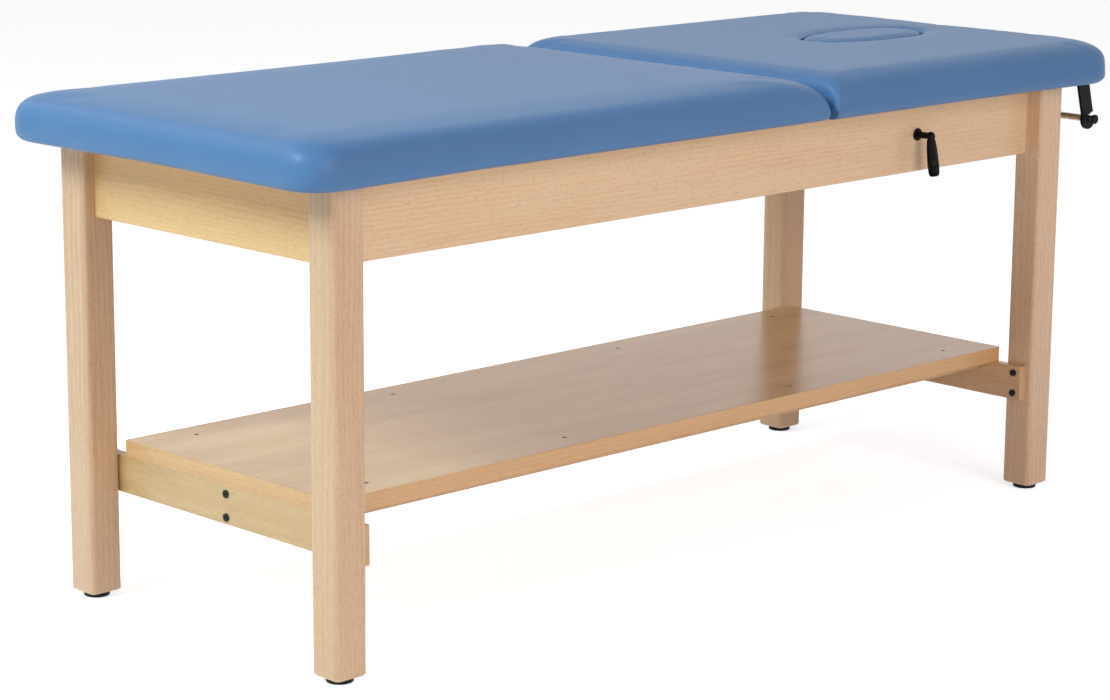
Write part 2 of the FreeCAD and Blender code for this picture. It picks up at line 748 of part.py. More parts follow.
# Board brackets: bent angles that screw the foot board down to the side aprons
board_brackets = []
bracket_makers = []
bracket_screw_reach = (board_bracket_leg + board_bracket_sheet + wood_screw_head_height) / 2
first_bracket = legs_centre_x - leg_inner_x + board_bracket_inset
last_bracket = hinge_rail_x0 - board_bracket_inset
for place in (first_bracket, (first_bracket + last_bracket) / 2, last_bracket):
    for side in SIDES:
        back = SIDES[side] * side_apron_back
        inward = -SIDES[side]
        x0 = place - board_bracket_width / 2
        x1 = place + board_bracket_width / 2
        far = back + inward * board_bracket_leg
        skin = back + inward * board_bracket_sheet
        upright = block(x0, x1, min(back, skin), max(back, skin), pad_bottom - board_bracket_leg, pad_bottom)
        level = block(x0, x1, min(back, far), max(back, far), pad_bottom - board_bracket_sheet, pad_bottom)
        into_apron = V(place, skin, pad_bottom - bracket_screw_reach)
        into_board = V(place, back + inward * bracket_screw_reach, pad_bottom - board_bracket_sheet)
        pair = []
        for spot, aim in ((into_apron, V(0, SIDES[side], 0)), (into_board, V(0, 0, 1))):
            pair.append(lambda grow, spot=spot, aim=aim: fastener(
                spot, aim, bracket_screw_length, wood_screw_diameter, wood_screw_head,
                wood_screw_head_height, False, grow))
        bracket_makers += pair
        board_brackets.append(fuse([upright, level]).cut(holes_for(pair)))
nodes["board_brackets"] = Part.makeCompound(board_brackets)
nodes["board_bracket_screws"] = screws_from(bracket_makers)
bracket_holes = holes_for(bracket_makers)
for side in SIDES:
    nodes["apron_%s" % side] = nodes["apron_%s" % side].cut(bracket_holes)
nodes["foot_board"] = foot_board.cut(bracket_holes)


# Lock on the front apron: a fixed bolt crosses the stay's slot, and the lever screws onto it
apron_front_face = -side_apron_face
apron_front_back = -side_apron_back
clamp_face = stay_plane + stay_thickness + slide_clearance
clamp_back = clamp_face + lock_plate_thickness
lock_centre = V(lock_x, 0, lock_z)


def at_lock(y):
    return V(lock_x, y, lock_z)


def lock_bar(y0, y1, grow=0.0):
    """A round-ended bar in the XZ plane through the lock's centre."""
    half = lock_plate_width / 2 + grow
    arm = V(lock_plate_reach * math.cos(math.radians(lock_plate_angle)), 0,
            lock_plate_reach * math.sin(math.radians(lock_plate_angle)))
    web = block(lock_x - lock_plate_reach, lock_x + lock_plate_reach, y0, y1, lock_z - half, lock_z + half)
    web = turned(web, lock_plate_angle, lock_centre)
    tips = [rod(2 * half, at_lock(y0) + arm * sign, at_lock(y1) + arm * sign) for sign in (-1, 1)]
    return fuse([web] + tips)


lock_screw_makers = []
lock_spacers = []
for sign in (-1, 1):
    arm = V(lock_plate_reach * math.cos(math.radians(lock_plate_angle)), 0,
            lock_plate_reach * math.sin(math.radians(lock_plate_angle))) * sign
    lock_screw_makers.append(lambda grow, arm=arm: fastener(
        at_lock(clamp_back) + arm, V(0, -1, 0), lock_screw_length, wood_screw_diameter, wood_screw_head,
        wood_screw_head_height, False, grow))
    lock_spacers.append(rod(lock_spacer_diameter, at_lock(apron_front_back + backing_plate_thickness) + arm,
                            at_lock(clamp_face) + arm))
lock_holes = holes_for(lock_screw_makers)
bolt_end = apron_front_face - escutcheon_thickness - lever_thread_depth
lock_bolt_hole = rod(lock_bolt_diameter + 2 * lock_bolt_clearance, at_lock(bolt_end - lock_bolt_clearance),
                     at_lock(clamp_back))
nodes["lock_plate_screws"] = screws_from(lock_screw_makers)
nodes["lock_spacers"] = Part.makeCompound(lock_spacers).cut(lock_holes)
nodes["lock_backing_plate"] = lock_bar(apron_front_back, apron_front_back + backing_plate_thickness).cut(
    lock_holes).cut(lock_bolt_hole)
nodes["lock_clamp_plate"] = lock_bar(clamp_face, clamp_back).cut(lock_holes).cut(lock_bolt_hole)
nodes["apron_front"] = nodes["apron_front"].cut(lock_holes).cut(lock_bolt_hole)
nodes["lock_bolt"] = fuse([
    rod(lock_bolt_diameter, at_lock(bolt_end), at_lock(clamp_back)),
    rod(bolt_head_diameter, at_lock(clamp_back), at_lock(clamp_back + bolt_head_height))])
escutcheon_face = apron_front_face - escutcheon_thickness
escutcheon = rod(escutcheon_diameter, at_lock(escutcheon_face), at_lock(apron_front_face))
outer_rim = [edge for edge in escutcheon.Edges if abs(edge.BoundBox.YMax - escutcheon_face) < tolerance]
nodes["lock_escutcheon"] = escutcheon.makeFillet(escutcheon_thickness / 2, outer_rim).cut(lock_bolt_hole)


# Lever: a round hub out to a knuckle, and a swelling handle that hangs from it
def lever():
    hub_start = apron_front_face - escutcheon_thickness - slide_clearance
    knuckle_y = hub_start - lever_hub_length + lever_knuckle_diameter / 2
    hub = rod(lever_hub_diameter, at_lock(knuckle_y), at_lock(hub_start))
    knuckle = Part.makeSphere(lever_knuckle_diameter / 2, at_lock(knuckle_y))
    # The share of the handle's length, and its width there
    stations = ((0.0, lever_root_width), (0.15, lever_neck_width), (0.4, lever_waist_width),
                (0.7, lever_handle_width), (0.92, lever_heel_width), (1.0, lever_tip_width))
    sections = []
    for share, width in stations:
        depth = width * lever_handle_depth / lever_handle_width
        centre = V(lock_x, knuckle_y, lock_z - share * lever_handle_length)
        sections.append(Part.Wire(Part.Ellipse(centre, width / 2, depth / 2).toShape()))
    handle = Part.makeLoft(sections, True, False)
    handle.rotate(at_lock(knuckle_y), V(1, 0, 0), -lever_outward_lean)
    return fuse([hub, knuckle, handle]).cut(lock_bolt_hole)


nodes["lock_lever"] = lever()


# Stay: its slot follows the lock bolt as the back-rest lifts and the stay turns with it
hinge_axis = V(break_x, 0, hinge_z)
stay_pivot = hinge_axis + V(stay_pivot_reach, 0, -stay_pivot_drop)


def swung(point, centre, angle):
    """A point swung in the XZ plane, from +X towards +Z."""
    c = math.cos(math.radians(angle))
    s = math.sin(math.radians(angle))
    dx = point.x - centre.x
    dz = point.z - centre.z
    return V(centre.x + c * dx - s * dz, point.y, centre.z + s * dx + c * dz)


def bolt_on_stay(tilt):
    """Where the lock bolt crosses the stay, on the stay at rest, when the back-rest is at a tilt."""
    on_back_rest = swung(lock_centre, hinge_axis, -tilt)
    return swung(on_back_rest, stay_pivot, -stay_turn_ratio * tilt)


def slot_heading(share):
    """The direction of the slot's middle line, at a share of the travel."""
    ahead = bolt_on_stay(tilt_limit * (share + slot_step))
    behind = bolt_on_stay(tilt_limit * (share - slot_step))
    return (ahead - behind).normalize()


def slot_point(share, offset):
    """A point beside the slot's middle line, at a share of the travel."""
    along = slot_heading(share)
    return bolt_on_stay(tilt_limit * share) + V(-along.z, 0, along.x) * offset


def ribbon(half, y0, y1):
    """A strip of even width along the slot's line with round ends."""
    shares = [index / (stay_points - 1) for index in range(stay_points)]
    edges = []
    for offset, order in ((half, shares), (-half, shares[::-1])):
        curve = Part.BSplineCurve()
        curve.interpolate([slot_point(share, offset) for share in order])
        edges.append(curve)
    start_cap = Part.Arc(slot_point(0, -half), slot_point(0, 0) - slot_heading(0) * half, slot_point(0, half))
    finish_cap = Part.Arc(slot_point(1, half), slot_point(1, 0) + slot_heading(1) * half, slot_point(1, -half))
    outline = Part.Wire([edges[0].toShape(), finish_cap.toShape(), edges[1].toShape(), start_cap.toShape()])
    strip = Part.Face(outline).extrude(V(0, y1 - y0, 0))
    strip.translate(V(0, y0, 0))
    return strip


def stay():
    y0 = stay_plane
    y1 = stay_plane + stay_thickness
    eye = rod(stay_width, V(stay_pivot.x, y0, stay_pivot.z), V(stay_pivot.x, y1, stay_pivot.z))
    near = slot_point(0, 0)
    arm = near - stay_pivot
    length = arm.Length
    bar = block(stay_pivot.x, stay_pivot.x + length, y0, y1, stay_pivot.z - stay_width / 2,
                stay_pivot.z + stay_width / 2)
    bar = turned(bar, math.degrees(math.atan2(arm.z, arm.x)), stay_pivot)
    body = fuse([eye, bar, ribbon(stay_width / 2, y0, y1)])
    slot = ribbon(lock_bolt_diameter / 2 + lock_slot_clearance, y0 - cut_margin, y1 + cut_margin)
    bore = rod(stay_pin_diameter + 2 * stay_pin_clearance, V(stay_pivot.x, y0 - cut_margin, stay_pivot.z),
               V(stay_pivot.x, y1 + cut_margin, stay_pivot.z))
    return body.cut(slot).cut(bore)


nodes["lock_stay"] = stay()


# Stay bracket: a bent angle under the back board with the pivot pin riveted through it
bracket_y0 = stay_plane + stay_thickness + slide_clearance
bracket_y1 = bracket_y0 + stay_bracket_sheet
bracket_x0 = stay_pivot.x - stay_bracket_width / 2
bracket_x1 = stay_pivot.x + stay_bracket_width / 2
cheek = block(bracket_x0, bracket_x1, bracket_y0, bracket_y1, stay_pivot.z - stay_width / 2, pad_bottom)
flange = block(bracket_x0, bracket_x1, bracket_y0, bracket_y0 + stay_bracket_flange,
               pad_bottom - stay_bracket_sheet, pad_bottom)
stay_screw_makers = []
for sign in (-1, 1):
    spot = V(stay_pivot.x + sign * stay_bracket_width / 4, (bracket_y1 + bracket_y0 + stay_bracket_flange) / 2,
             pad_bottom - stay_bracket_sheet)
    stay_screw_makers.append(lambda grow, spot=spot: fastener(
        spot, V(0, 0, 1), bracket_screw_length, wood_screw_diameter, wood_screw_head,
        wood_screw_head_height, False, grow))


def at_pivot(y):
    return V(stay_pivot.x, y, stay_pivot.z)


pin_hole = rod(stay_pin_diameter + 2 * fastener_clearance, at_pivot(bracket_y0), at_pivot(bracket_y1))
nodes["stay_bracket"] = fuse([cheek, flange]).cut(holes_for(stay_screw_makers)).cut(pin_hole)
nodes["stay_bracket_screws"] = screws_from(stay_screw_makers)
pin_start = stay_plane - slide_clearance / 2
nodes["stay_pin"] = fuse([
    rod(stay_pin_diameter, at_pivot(pin_start), at_pivot(bracket_y1)),
    rod(stay_pin_head, at_pivot(bracket_y1), at_pivot(bracket_y1 + stay_pin_head_height))])


# Paper roll holder: two hooked flat bars under the back board and a rod that turns in them
bar_half = holder_bar_width / 2
bar_top_x = holder_rod_x - (pad_bottom - holder_rod_z) * math.tan(math.radians(holder_lean))
holder_makers = []
for side in SIDES:
    outer = SIDES[side] * (holder_plate_y + holder_plate_thickness / 2)
    inner = SIDES[side] * (holder_plate_y - holder_plate_thickness / 2)
    y0, y1 = min(outer, inner), max(outer, inner)
    far = inner - SIDES[side] * holder_flange
    skew = V(math.cos(math.radians(holder_lean)), 0, math.sin(math.radians(holder_lean))) * bar_half
    seat = V(holder_rod_x, y0, holder_rod_z)
    shift = bar_half / math.cos(math.radians(holder_lean))
    outline = [V(bar_top_x - shift, y0, pad_bottom), V(bar_top_x + shift, y0, pad_bottom),
               seat + skew, seat - skew]
    bar = Part.Face(Part.makePolygon(outline + outline[:1])).extrude(V(0, holder_plate_thickness, 0))
    lobe = rod(holder_lobe_diameter, seat, seat + V(0, holder_plate_thickness, 0))
    level = block(bar_top_x - shift, bar_top_x + shift, min(inner, far), max(inner, far),
                  pad_bottom - holder_plate_thickness, pad_bottom)
    slot_half = holder_rod_diameter / 2 + holder_rod_clearance
    mouth = block(holder_rod_x, holder_rod_x + holder_lobe_diameter, y0, y1, holder_rod_z - slot_half,
                  holder_rod_z + slot_half)
    mouth = turned(mouth, holder_slot_angle, V(holder_rod_x, 0, holder_rod_z))
    bed = rod(2 * slot_half, seat, seat + V(0, holder_plate_thickness, 0))
    pair = []
    for sign in (-1, 1):
        spot = V(bar_top_x + sign * shift / 2, inner - SIDES[side] * holder_flange / 2,
                 pad_bottom - holder_plate_thickness)
        pair.append(lambda grow, spot=spot: fastener(
            spot, V(0, 0, 1), bracket_screw_length + holder_plate_thickness / 2, wood_screw_diameter,
            wood_screw_head, wood_screw_head_height, False, grow))
    holder_makers += pair
    nodes["paper_bracket_%s" % side] = fuse([bar, lobe, level]).cut(mouth).cut(bed).cut(holes_for(pair))
nodes["paper_bracket_screws"] = screws_from(holder_makers)

rod_half = holder_plate_y + holder_plate_thickness / 2 + holder_rod_overhang
caps = []
for side in SIDES:
    tip = V(holder_rod_x, SIDES[side] * rod_half, holder_rod_z)
    cap = rod(holder_cap_diameter, tip, tip + V(0, SIDES[side] * holder_cap_thickness, 0))
    end_rim = [edge for edge in cap.Edges
               if abs(abs(edge.CenterOfMass.y) - rod_half - holder_cap_thickness) < tolerance]
    caps.append(cap.makeFillet(holder_cap_edge, end_rim))
nodes["paper_rod"] = rod(holder_rod_diameter, V(holder_rod_x, -rod_half, holder_rod_z),
                         V(holder_rod_x, rod_half, holder_rod_z))
nodes["paper_rod_caps"] = Part.makeCompound(caps)

back_board = back_board.cut(holes_for(stay_screw_makers)).cut(holes_for(holder_makers))
nodes["back_board"] = back_board


os.makedirs("parts", exist_ok=True)
for name, shape in nodes.items():
    shape.exportStep("parts/%s.step" % name)
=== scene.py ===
import math

import bmesh
import bpy
from mathutils import Matrix, Vector
from mathutils.bvhtree import BVHTree


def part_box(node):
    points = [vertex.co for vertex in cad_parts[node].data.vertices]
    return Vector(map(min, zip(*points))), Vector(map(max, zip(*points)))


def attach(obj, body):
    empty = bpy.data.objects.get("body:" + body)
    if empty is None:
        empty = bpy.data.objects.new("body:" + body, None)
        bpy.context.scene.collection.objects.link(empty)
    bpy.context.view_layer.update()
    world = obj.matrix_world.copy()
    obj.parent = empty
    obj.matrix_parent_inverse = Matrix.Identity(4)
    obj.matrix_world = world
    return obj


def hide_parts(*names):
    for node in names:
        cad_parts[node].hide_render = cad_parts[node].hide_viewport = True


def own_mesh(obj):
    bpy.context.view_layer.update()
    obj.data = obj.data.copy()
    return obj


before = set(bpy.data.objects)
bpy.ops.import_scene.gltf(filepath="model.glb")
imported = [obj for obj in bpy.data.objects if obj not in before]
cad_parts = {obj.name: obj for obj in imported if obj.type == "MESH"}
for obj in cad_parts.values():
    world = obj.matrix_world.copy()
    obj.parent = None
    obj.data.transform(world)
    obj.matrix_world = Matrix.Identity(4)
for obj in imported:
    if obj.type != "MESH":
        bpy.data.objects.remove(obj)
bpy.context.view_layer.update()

mm = 0.001


# Legs: four square beech posts with well rounded edges, planed, sanded and sealed with satin lacquer.
# Each runs in one length from its glide up to the underside of the padded top.
def linear(hex_colour):
    """An sRGB hex colour as linear red, green, blue and alpha."""
    parts = [int(hex_colour[i:i + 2], 16) / 255 for i in (1, 3, 5)]
    return [p / 12.92 if p <= 0.04045 else ((p + 0.055) / 1.055) ** 2.4 for p in parts] + [1.0]


def add(tree, kind, inputs, **settings):
    """Adds one shader node, with its settings, and its inputs as values or links."""
    node = tree.nodes.new("ShaderNode" + kind)
    for name, value in settings.items():
        setattr(node, name, value)
    for socket, source in inputs.items():
        if isinstance(source, bpy.types.NodeSocket):
            tree.links.new(source, node.inputs[socket])
        else:
            node.inputs[socket].default_value = source
    return node


def start_material(name):
    """An empty material, its node tree, and its Object coordinates in millimetres."""
    material = bpy.data.materials.new(name)
    material.use_nodes = True
    tree = material.node_tree
    tree.nodes.clear()
    place = add(tree, "TexCoord", {})
    in_mm = add(tree, "VectorMath", {0: place.outputs["Object"], "Scale": 1 / mm}, operation="SCALE")
    return material, tree, in_mm.outputs["Vector"]


def finish_surface(tree, shader):
    """Joins a shader to the material's output."""
    add(tree, "OutputMaterial", {"Surface": shader.outputs["BSDF"]})


def dress(names, material):
    """Gives CAD nodes their finish."""
    for name in names:
        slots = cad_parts[name].data.materials
        slots.clear()
        slots.append(material)


def beech(name, grain, pith, pale, late, fleck, roughness=0.36):
    """Lacquered beech cut from a log whose middle lies at pith, in mm, beside the grain axis.

    Growth rings give soft bands along the grain, fibres fine streaks, and the rays short brown flecks.
    Real rings are 2 to 4 mm apart and flecks 0.5 mm wide; both are drawn wider so that they show."""
    ring_mm = 7.5
    fibre_mm = (1.6, 1.6, 60.0)
    fleck_mm = (1.5, 1.5, 9.0)
    cloud_mm = (60.0, 60.0, 520.0)
    sway_mm = (26.0, 26.0, 0.0)
    turn = {"X": (0, -math.pi / 2, 0), "Y": (math.pi / 2, 0, 0), "Z": (0, 0, 0)}[grain]
    material, tree, in_mm = start_material(name)
    log = add(tree, "Mapping", {"Vector": in_mm, "Rotation": turn, "Location": (*pith, 0)}).outputs["Vector"]

    def stretched(sizes):
        return add(tree, "Mapping", {"Vector": log, "Scale": [1 / s for s in sizes]}).outputs["Vector"]

    cloud = add(tree, "TexNoise", {"Vector": stretched(cloud_mm), "Scale": 1.0, "Detail": 2.0})
    sway = add(tree, "VectorMath", {0: cloud.outputs["Color"], 1: sway_mm, 2: log},
               operation="MULTIPLY_ADD")
    # a wave texture of scale 1 repeats every pi / 10 units
    rings = add(tree, "TexWave", {"Vector": sway.outputs["Vector"], "Scale": math.pi / 10 / ring_mm,
                                  "Distortion": 5.0, "Detail": 3.0, "Detail Scale": 0.022},
                wave_type="RINGS", rings_direction="Z", wave_profile="SIN")
    fibre = add(tree, "TexNoise", {"Vector": stretched(fibre_mm), "Scale": 1.0, "Detail": 4.0,
                                   "Roughness": 0.65})
    spots = add(tree, "TexNoise", {"Vector": stretched(fleck_mm), "Scale": 1.0, "Detail": 1.0})
    flecks = add(tree, "MapRange", {"Value": spots.outputs["Fac"], "From Min": 0.52, "From Max": 0.78,
                                    "To Max": 0.34}, interpolation_type="SMOOTHSTEP")
    ring_share = add(tree, "MapRange", {"Value": rings.outputs["Fac"], "From Min": 0.2, "From Max": 1.0,
                                        "To Max": 0.22})
    streaks = add(tree, "MapRange", {"Value": fibre.outputs["Fac"], "From Min": 0.3, "From Max": 0.75,
                                     "To Max": 0.5})
    shares = add(tree, "Math", {0: ring_share.outputs["Result"], 1: streaks.outputs["Result"]},
                 operation="ADD")
    drift = add(tree, "MapRange", {"Value": cloud.outputs["Fac"], "From Min": 0.35, "From Max": 0.7,
                                   "To Min": 0.55, "To Max": 1.25})
    late_share = add(tree, "Math", {0: shares.outputs["Value"], 1: drift.outputs["Result"]},
                     operation="MULTIPLY", use_clamp=True)
    wood = add(tree, "MixRGB", {"Fac": late_share.outputs["Value"], "Color1": linear(pale),
                                "Color2": linear(late)})
    flecked = add(tree, "MixRGB", {"Fac": flecks.outputs["Result"], "Color1": wood.outputs["Color"],
                                   "Color2": linear(fleck)})
    sheen = add(tree, "MapRange", {"Value": fibre.outputs["Fac"], "To Min": roughness - 0.05,
                                   "To Max": roughness + 0.08})
    height = add(tree, "Math", {0: flecks.outputs["Result"], 1: -0.6, 2: fibre.outputs["Fac"]},
                 operation="MULTIPLY_ADD")
    bump = add(tree, "Bump", {"Height": height.outputs["Value"], "Strength": 0.12, "Distance": 0.2 * mm})
    finish_surface(tree, add(tree, "BsdfPrincipled", {
        "Base Color": flecked.outputs["Color"], "Roughness": sheen.outputs["Result"], "IOR": 1.5,
        "Normal": bump.outputs["Normal"], "Coat Weight": 0.12, "Coat Roughness": 0.25}))
    return material


# each leg's pith, and the colours of its early wood, late wood and flecks
leg_woods = {"leg_foot_front": ((1142, 530), "#D8B897", "#C0936F", "#9A6744"),
             "leg_foot_back": ((1112, -550), "#D9B99A", "#C09372", "#9A6745"),
             "leg_head_front": ((-1045, 620), "#E2C6A8", "#CBA180", "#A2714F"),
             "leg_head_back": ((-1115, -530), "#DCBD9D", "#C49874", "#9C6948")}
for leg, (pith, pale, late, fleck) in leg_woods.items():
    dress([leg], beech("lacquered_beech_" + leg, "Z", pith, pale, late, fleck))


# Glides: black rubber buttons screwed under the legs, moulded with a faint matt grain.
# They keep the end grain off the floor and stop the table from sliding.
def dark_finish(name, colour, roughness, grain_mm, relief, shine=0.22):
    """A black finish, moulded, oxidised or lacquered: dark, with a fine even grain and a soft gleam."""
    wear_mm = 14.0
    material, tree, in_mm = start_material(name)
    grain = add(tree, "TexNoise", {"Vector": in_mm, "Scale": 1 / grain_mm, "Detail": 3.0})
    wear = add(tree, "TexNoise", {"Vector": in_mm, "Scale": 1 / wear_mm, "Detail": 2.0})
    tone = add(tree, "MapRange", {"Value": wear.outputs["Fac"], "From Min": 0.3, "From Max": 0.7,
                                  "To Min": 0.75, "To Max": 1.3})
    shade = add(tree, "VectorMath", {0: linear(colour)[:3], "Scale": tone.outputs["Result"]},
                operation="SCALE")
    gleam = add(tree, "MapRange", {"Value": grain.outputs["Fac"], "To Min": roughness - 0.08,
                                   "To Max": roughness + 0.08})
    bump = add(tree, "Bump", {"Height": grain.outputs["Fac"], "Strength": relief, "Distance": 0.1 * mm})
    finish_surface(tree, add(tree, "BsdfPrincipled", {
        "Base Color": shade.outputs["Vector"], "Roughness": gleam.outputs["Result"], "IOR": 1.5,
        "Specular IOR Level": shine, "Normal": bump.outputs["Normal"]}))
    return material


glides = ["glide_foot_front", "glide_foot_back", "glide_head_front", "glide_head_back"]
dress(glides, dark_finish("black_rubber", "#121315", roughness=0.6, grain_mm=1.2, relief=0.3))


# Zinc-plated fittings: glide screws, corner bolts, barrel nuts, and the brackets under the foot board.
# Bright zinc under clear chromate is a pale grey metal with faint milky clouds and fine rolling lines.
def plated_steel(name, colour, roughness):
    """Plated metal: clouds change its tone a little, and lines along Y its gleam."""
    cloud_mm = 9.0
    line_mm = (0.8, 18.0, 0.8)
    material, tree, in_mm = start_material(name)
    cloud = add(tree, "TexNoise", {"Vector": in_mm, "Scale": 1 / cloud_mm, "Detail": 3.0})
    lines_place = add(tree, "Mapping", {"Vector": in_mm, "Scale": [1 / s for s in line_mm]})
    lines = add(tree, "TexNoise", {"Vector": lines_place.outputs["Vector"], "Scale": 1.0, "Detail": 2.0})
    tone = add(tree, "MapRange", {"Value": cloud.outputs["Fac"], "From Min": 0.25, "From Max": 0.75,
                                  "To Min": 0.7, "To Max": 1.12})
    shade = add(tree, "VectorMath", {0: linear(colour)[:3], "Scale": tone.outputs["Result"]},
                operation="SCALE")
    gleam = add(tree, "MapRange", {"Value": lines.outputs["Fac"], "To Min": roughness - 0.1,
                                   "To Max": roughness + 0.12})
    bump = add(tree, "Bump", {"Height": lines.outputs["Fac"], "Strength": 0.1, "Distance": 0.05 * mm})
    finish_surface(tree, add(tree, "BsdfPrincipled", {
        "Base Color": shade.outputs["Vector"], "Metallic": 1.0, "Roughness": gleam.outputs["Result"],
        "Normal": bump.outputs["Normal"]}))
    return material


zinc_steel = plated_steel("zinc_plated_steel", "#A6A9AC", roughness=0.34)
dress(["glide_screws", "corner_bolts", "centre_rail_nuts", "board_brackets", "board_bracket_screws"],
      zinc_steel)


# Aprons: four beech boards tenoned into the legs, set back from the leg faces.
# Their faces are quarter-sawn, so the grain runs in fine level lines with many short flecks.
apron_tones = ("#E8CAA6", "#D3A97F", "#AE7F57")
# the foot apron's beech is drawn more saturated orange than the others: painted warm shade from the cushion
# above it, over its own wood colour
foot_apron_tones_with_painted_shade = ("#E6C08A", "#D0A065", "#A87440")
apron_woods = {"apron_front": ("X", (1380, 480), apron_tones),
               "apron_back": ("X", (1420, -390), apron_tones),
               "apron_foot": ("Y", (900, 1350), foot_apron_tones_with_painted_shade),
               "apron_head": ("Y", (-760, 1290), apron_tones)}
for apron, (grain, pith, tones) in apron_woods.items():
    dress([apron], beech("lacquered_beech_" + apron, grain, pith, *tones))


# Corner blocks, hinge rail and centre rail: sawn beech pieces inside the frame, glued and bolted.
# They are out of sight from above, sanded less finely and lacquered once.
corner_blocks = ["corner_block_foot_front", "corner_block_foot_back", "corner_block_head_front",
                 "corner_block_head_back"]
sawn_tones = ("#E2C29C", "#C99F76", "#A5764F")
sawn_roughness = 0.5
dress(corner_blocks, beech("sawn_beech_blocks", "Z", (420, 310), *sawn_tones, sawn_roughness))
dress(["hinge_rail"], beech("sawn_beech_hinge_rail", "Y", (300, 520), *sawn_tones, sawn_roughness))
dress(["centre_rail"], beech("sawn_beech_centre_rail", "X", (60, 340), *sawn_tones, sawn_roughness))


# Stretchers: one low beech rail across each pair of legs, flat-sawn with arched grain on its face.
# Each end is held by two black socket-head bolts, one above the other.
dress(["stretcher_foot"],
      beech("lacquered_beech_stretcher_foot", "Y", (905, 215), "#D2B286", "#B68E60", "#986A43"))
dress(["stretcher_head"],
      beech("lacquered_beech_stretcher_head", "Y", (-880, 170), "#D9B48C", "#BA8B62", "#946240"))
dress(["stretcher_bolts", "centre_rail_bolts"],
      dark_finish("black_oxide_bolts", "#0C0C0D", roughness=0.4, grain_mm=0.8, relief=0.1))


# Shelf: a board faced with satin beech-pattern laminate, screwed down on the stretchers and two battens.
# The laminate is printed with soft clouds and streaks, and its clear top layer mirrors what stands over it.
def laminate(name):
    """Printed laminate under a clear satin layer: soft streaks along X in broad clouds."""
    streak_mm = (60.0, 3.2, 3.2)
    cloud_mm = (420.0, 70.0, 70.0)
    material, tree, in_mm = start_material(name)

    def printed(sizes, detail):
        place = add(tree, "Mapping", {"Vector": in_mm, "Scale": [1 / s for s in sizes]})
        return add(tree, "TexNoise", {"Vector": place.outputs["Vector"], "Scale": 1.0, "Detail": detail})

    streaks = printed(streak_mm, 3.0)
    clouds = printed(cloud_mm, 2.0)
    share = add(tree, "Math", {0: streaks.outputs["Fac"], 1: 0.5, 2: clouds.outputs["Fac"]},
                operation="MULTIPLY_ADD")
    late_share = add(tree, "MapRange", {"Value": share.outputs["Value"], "From Min": 0.45, "From Max": 1.1})
    tone = add(tree, "MixRGB", {"Fac": late_share.outputs["Result"], "Color1": linear("#DDBB90"),
                                "Color2": linear("#C59C6E")})
    gleam = add(tree, "MapRange", {"Value": streaks.outputs["Fac"], "To Min": 0.2, "To Max": 0.3})
    bump = add(tree, "Bump", {"Height": streaks.outputs["Fac"], "Strength": 0.05, "Distance": 0.1 * mm})
    finish_surface(tree, add(tree, "BsdfPrincipled", {
        "Base Color": tone.outputs["Color"], "Roughness": gleam.outputs["Result"], "IOR": 1.5,
        "Normal": bump.outputs["Normal"]}))
    return material


dress(["shelf"], laminate("satin_laminate"))
dress(["shelf_batten_front", "shelf_batten_back"],
      beech("sawn_beech_battens", "X", (90, 260), *sawn_tones, sawn_roughness))
dress(["shelf_screws"],
      dark_finish("dark_shelf_screws", "#231A14", roughness=0.45, grain_mm=0.8, relief=0.1))


# Shelf edging: strips of beech glued round the board's four edges and trimmed flush, with broken arrises.
# Each strip stands half a millimetre proud of the board's edge.
def new_piece(name, bm, body, material, smooth=False):
    """Makes one object of a bmesh, in place, and gives it its body, material slot and finish."""
    mesh = bpy.data.meshes.new(name)
    bmesh.ops.recalc_face_normals(bm, faces=bm.faces)
    bm.to_mesh(mesh)
    bm.free()
    for polygon in mesh.polygons:
        polygon.use_smooth = smooth
    mesh.materials.append(material)
    piece = bpy.data.objects.new(name, mesh)
    bpy.context.scene.collection.objects.link(piece)
    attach(piece, body)
    return piece


def add_block(bm, low, high, edge_round):
    """Adds a block between two corners, its edges rounded by bevels."""
    made = bmesh.ops.create_cube(bm, size=1.0)["verts"]
    bmesh.ops.scale(bm, vec=high - low, verts=made)
    bmesh.ops.translate(bm, vec=(low + high) / 2, verts=made)
    edges = list({edge for vert in made for edge in vert.link_edges})
    bmesh.ops.bevel(bm, geom=edges, offset=edge_round, offset_type="OFFSET", affect="EDGES", segments=2,
                    profile=0.5, material=-1)


edging_proud = 0.5 * mm
edging_sunk = 1.5 * mm
edging_lap = 0.15 * mm
edging_arris = 0.4 * mm
edging_tones = ("#DDB384", "#C4935F", "#9C6B40")
shelf_low, shelf_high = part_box("shelf")
edging_beech = {"X": beech("beech_edging_long", "X", (420, 330), *edging_tones),
                "Y": beech("beech_edging_cross", "Y", (330, 420), *edging_tones)}
for end, axis, side in (("front", 1, -1), ("back", 1, 1), ("foot", 0, -1), ("head", 0, 1)):
    strip_low = shelf_low - Vector((0, 0, edging_lap))
    strip_high = shelf_high + Vector((0, 0, edging_lap))
    if side < 0:
        strip_high[axis] = shelf_low[axis] + edging_sunk
        strip_low[axis] = shelf_low[axis] - edging_proud
    else:
        strip_low[axis] = shelf_high[axis] - edging_sunk
        strip_high[axis] = shelf_high[axis] + edging_proud
    bm = bmesh.new()
    add_block(bm, strip_low, strip_high, edging_arris)
    new_piece("shelf_edging_" + end, bm, "frame", edging_beech["XY"[1 - axis]])


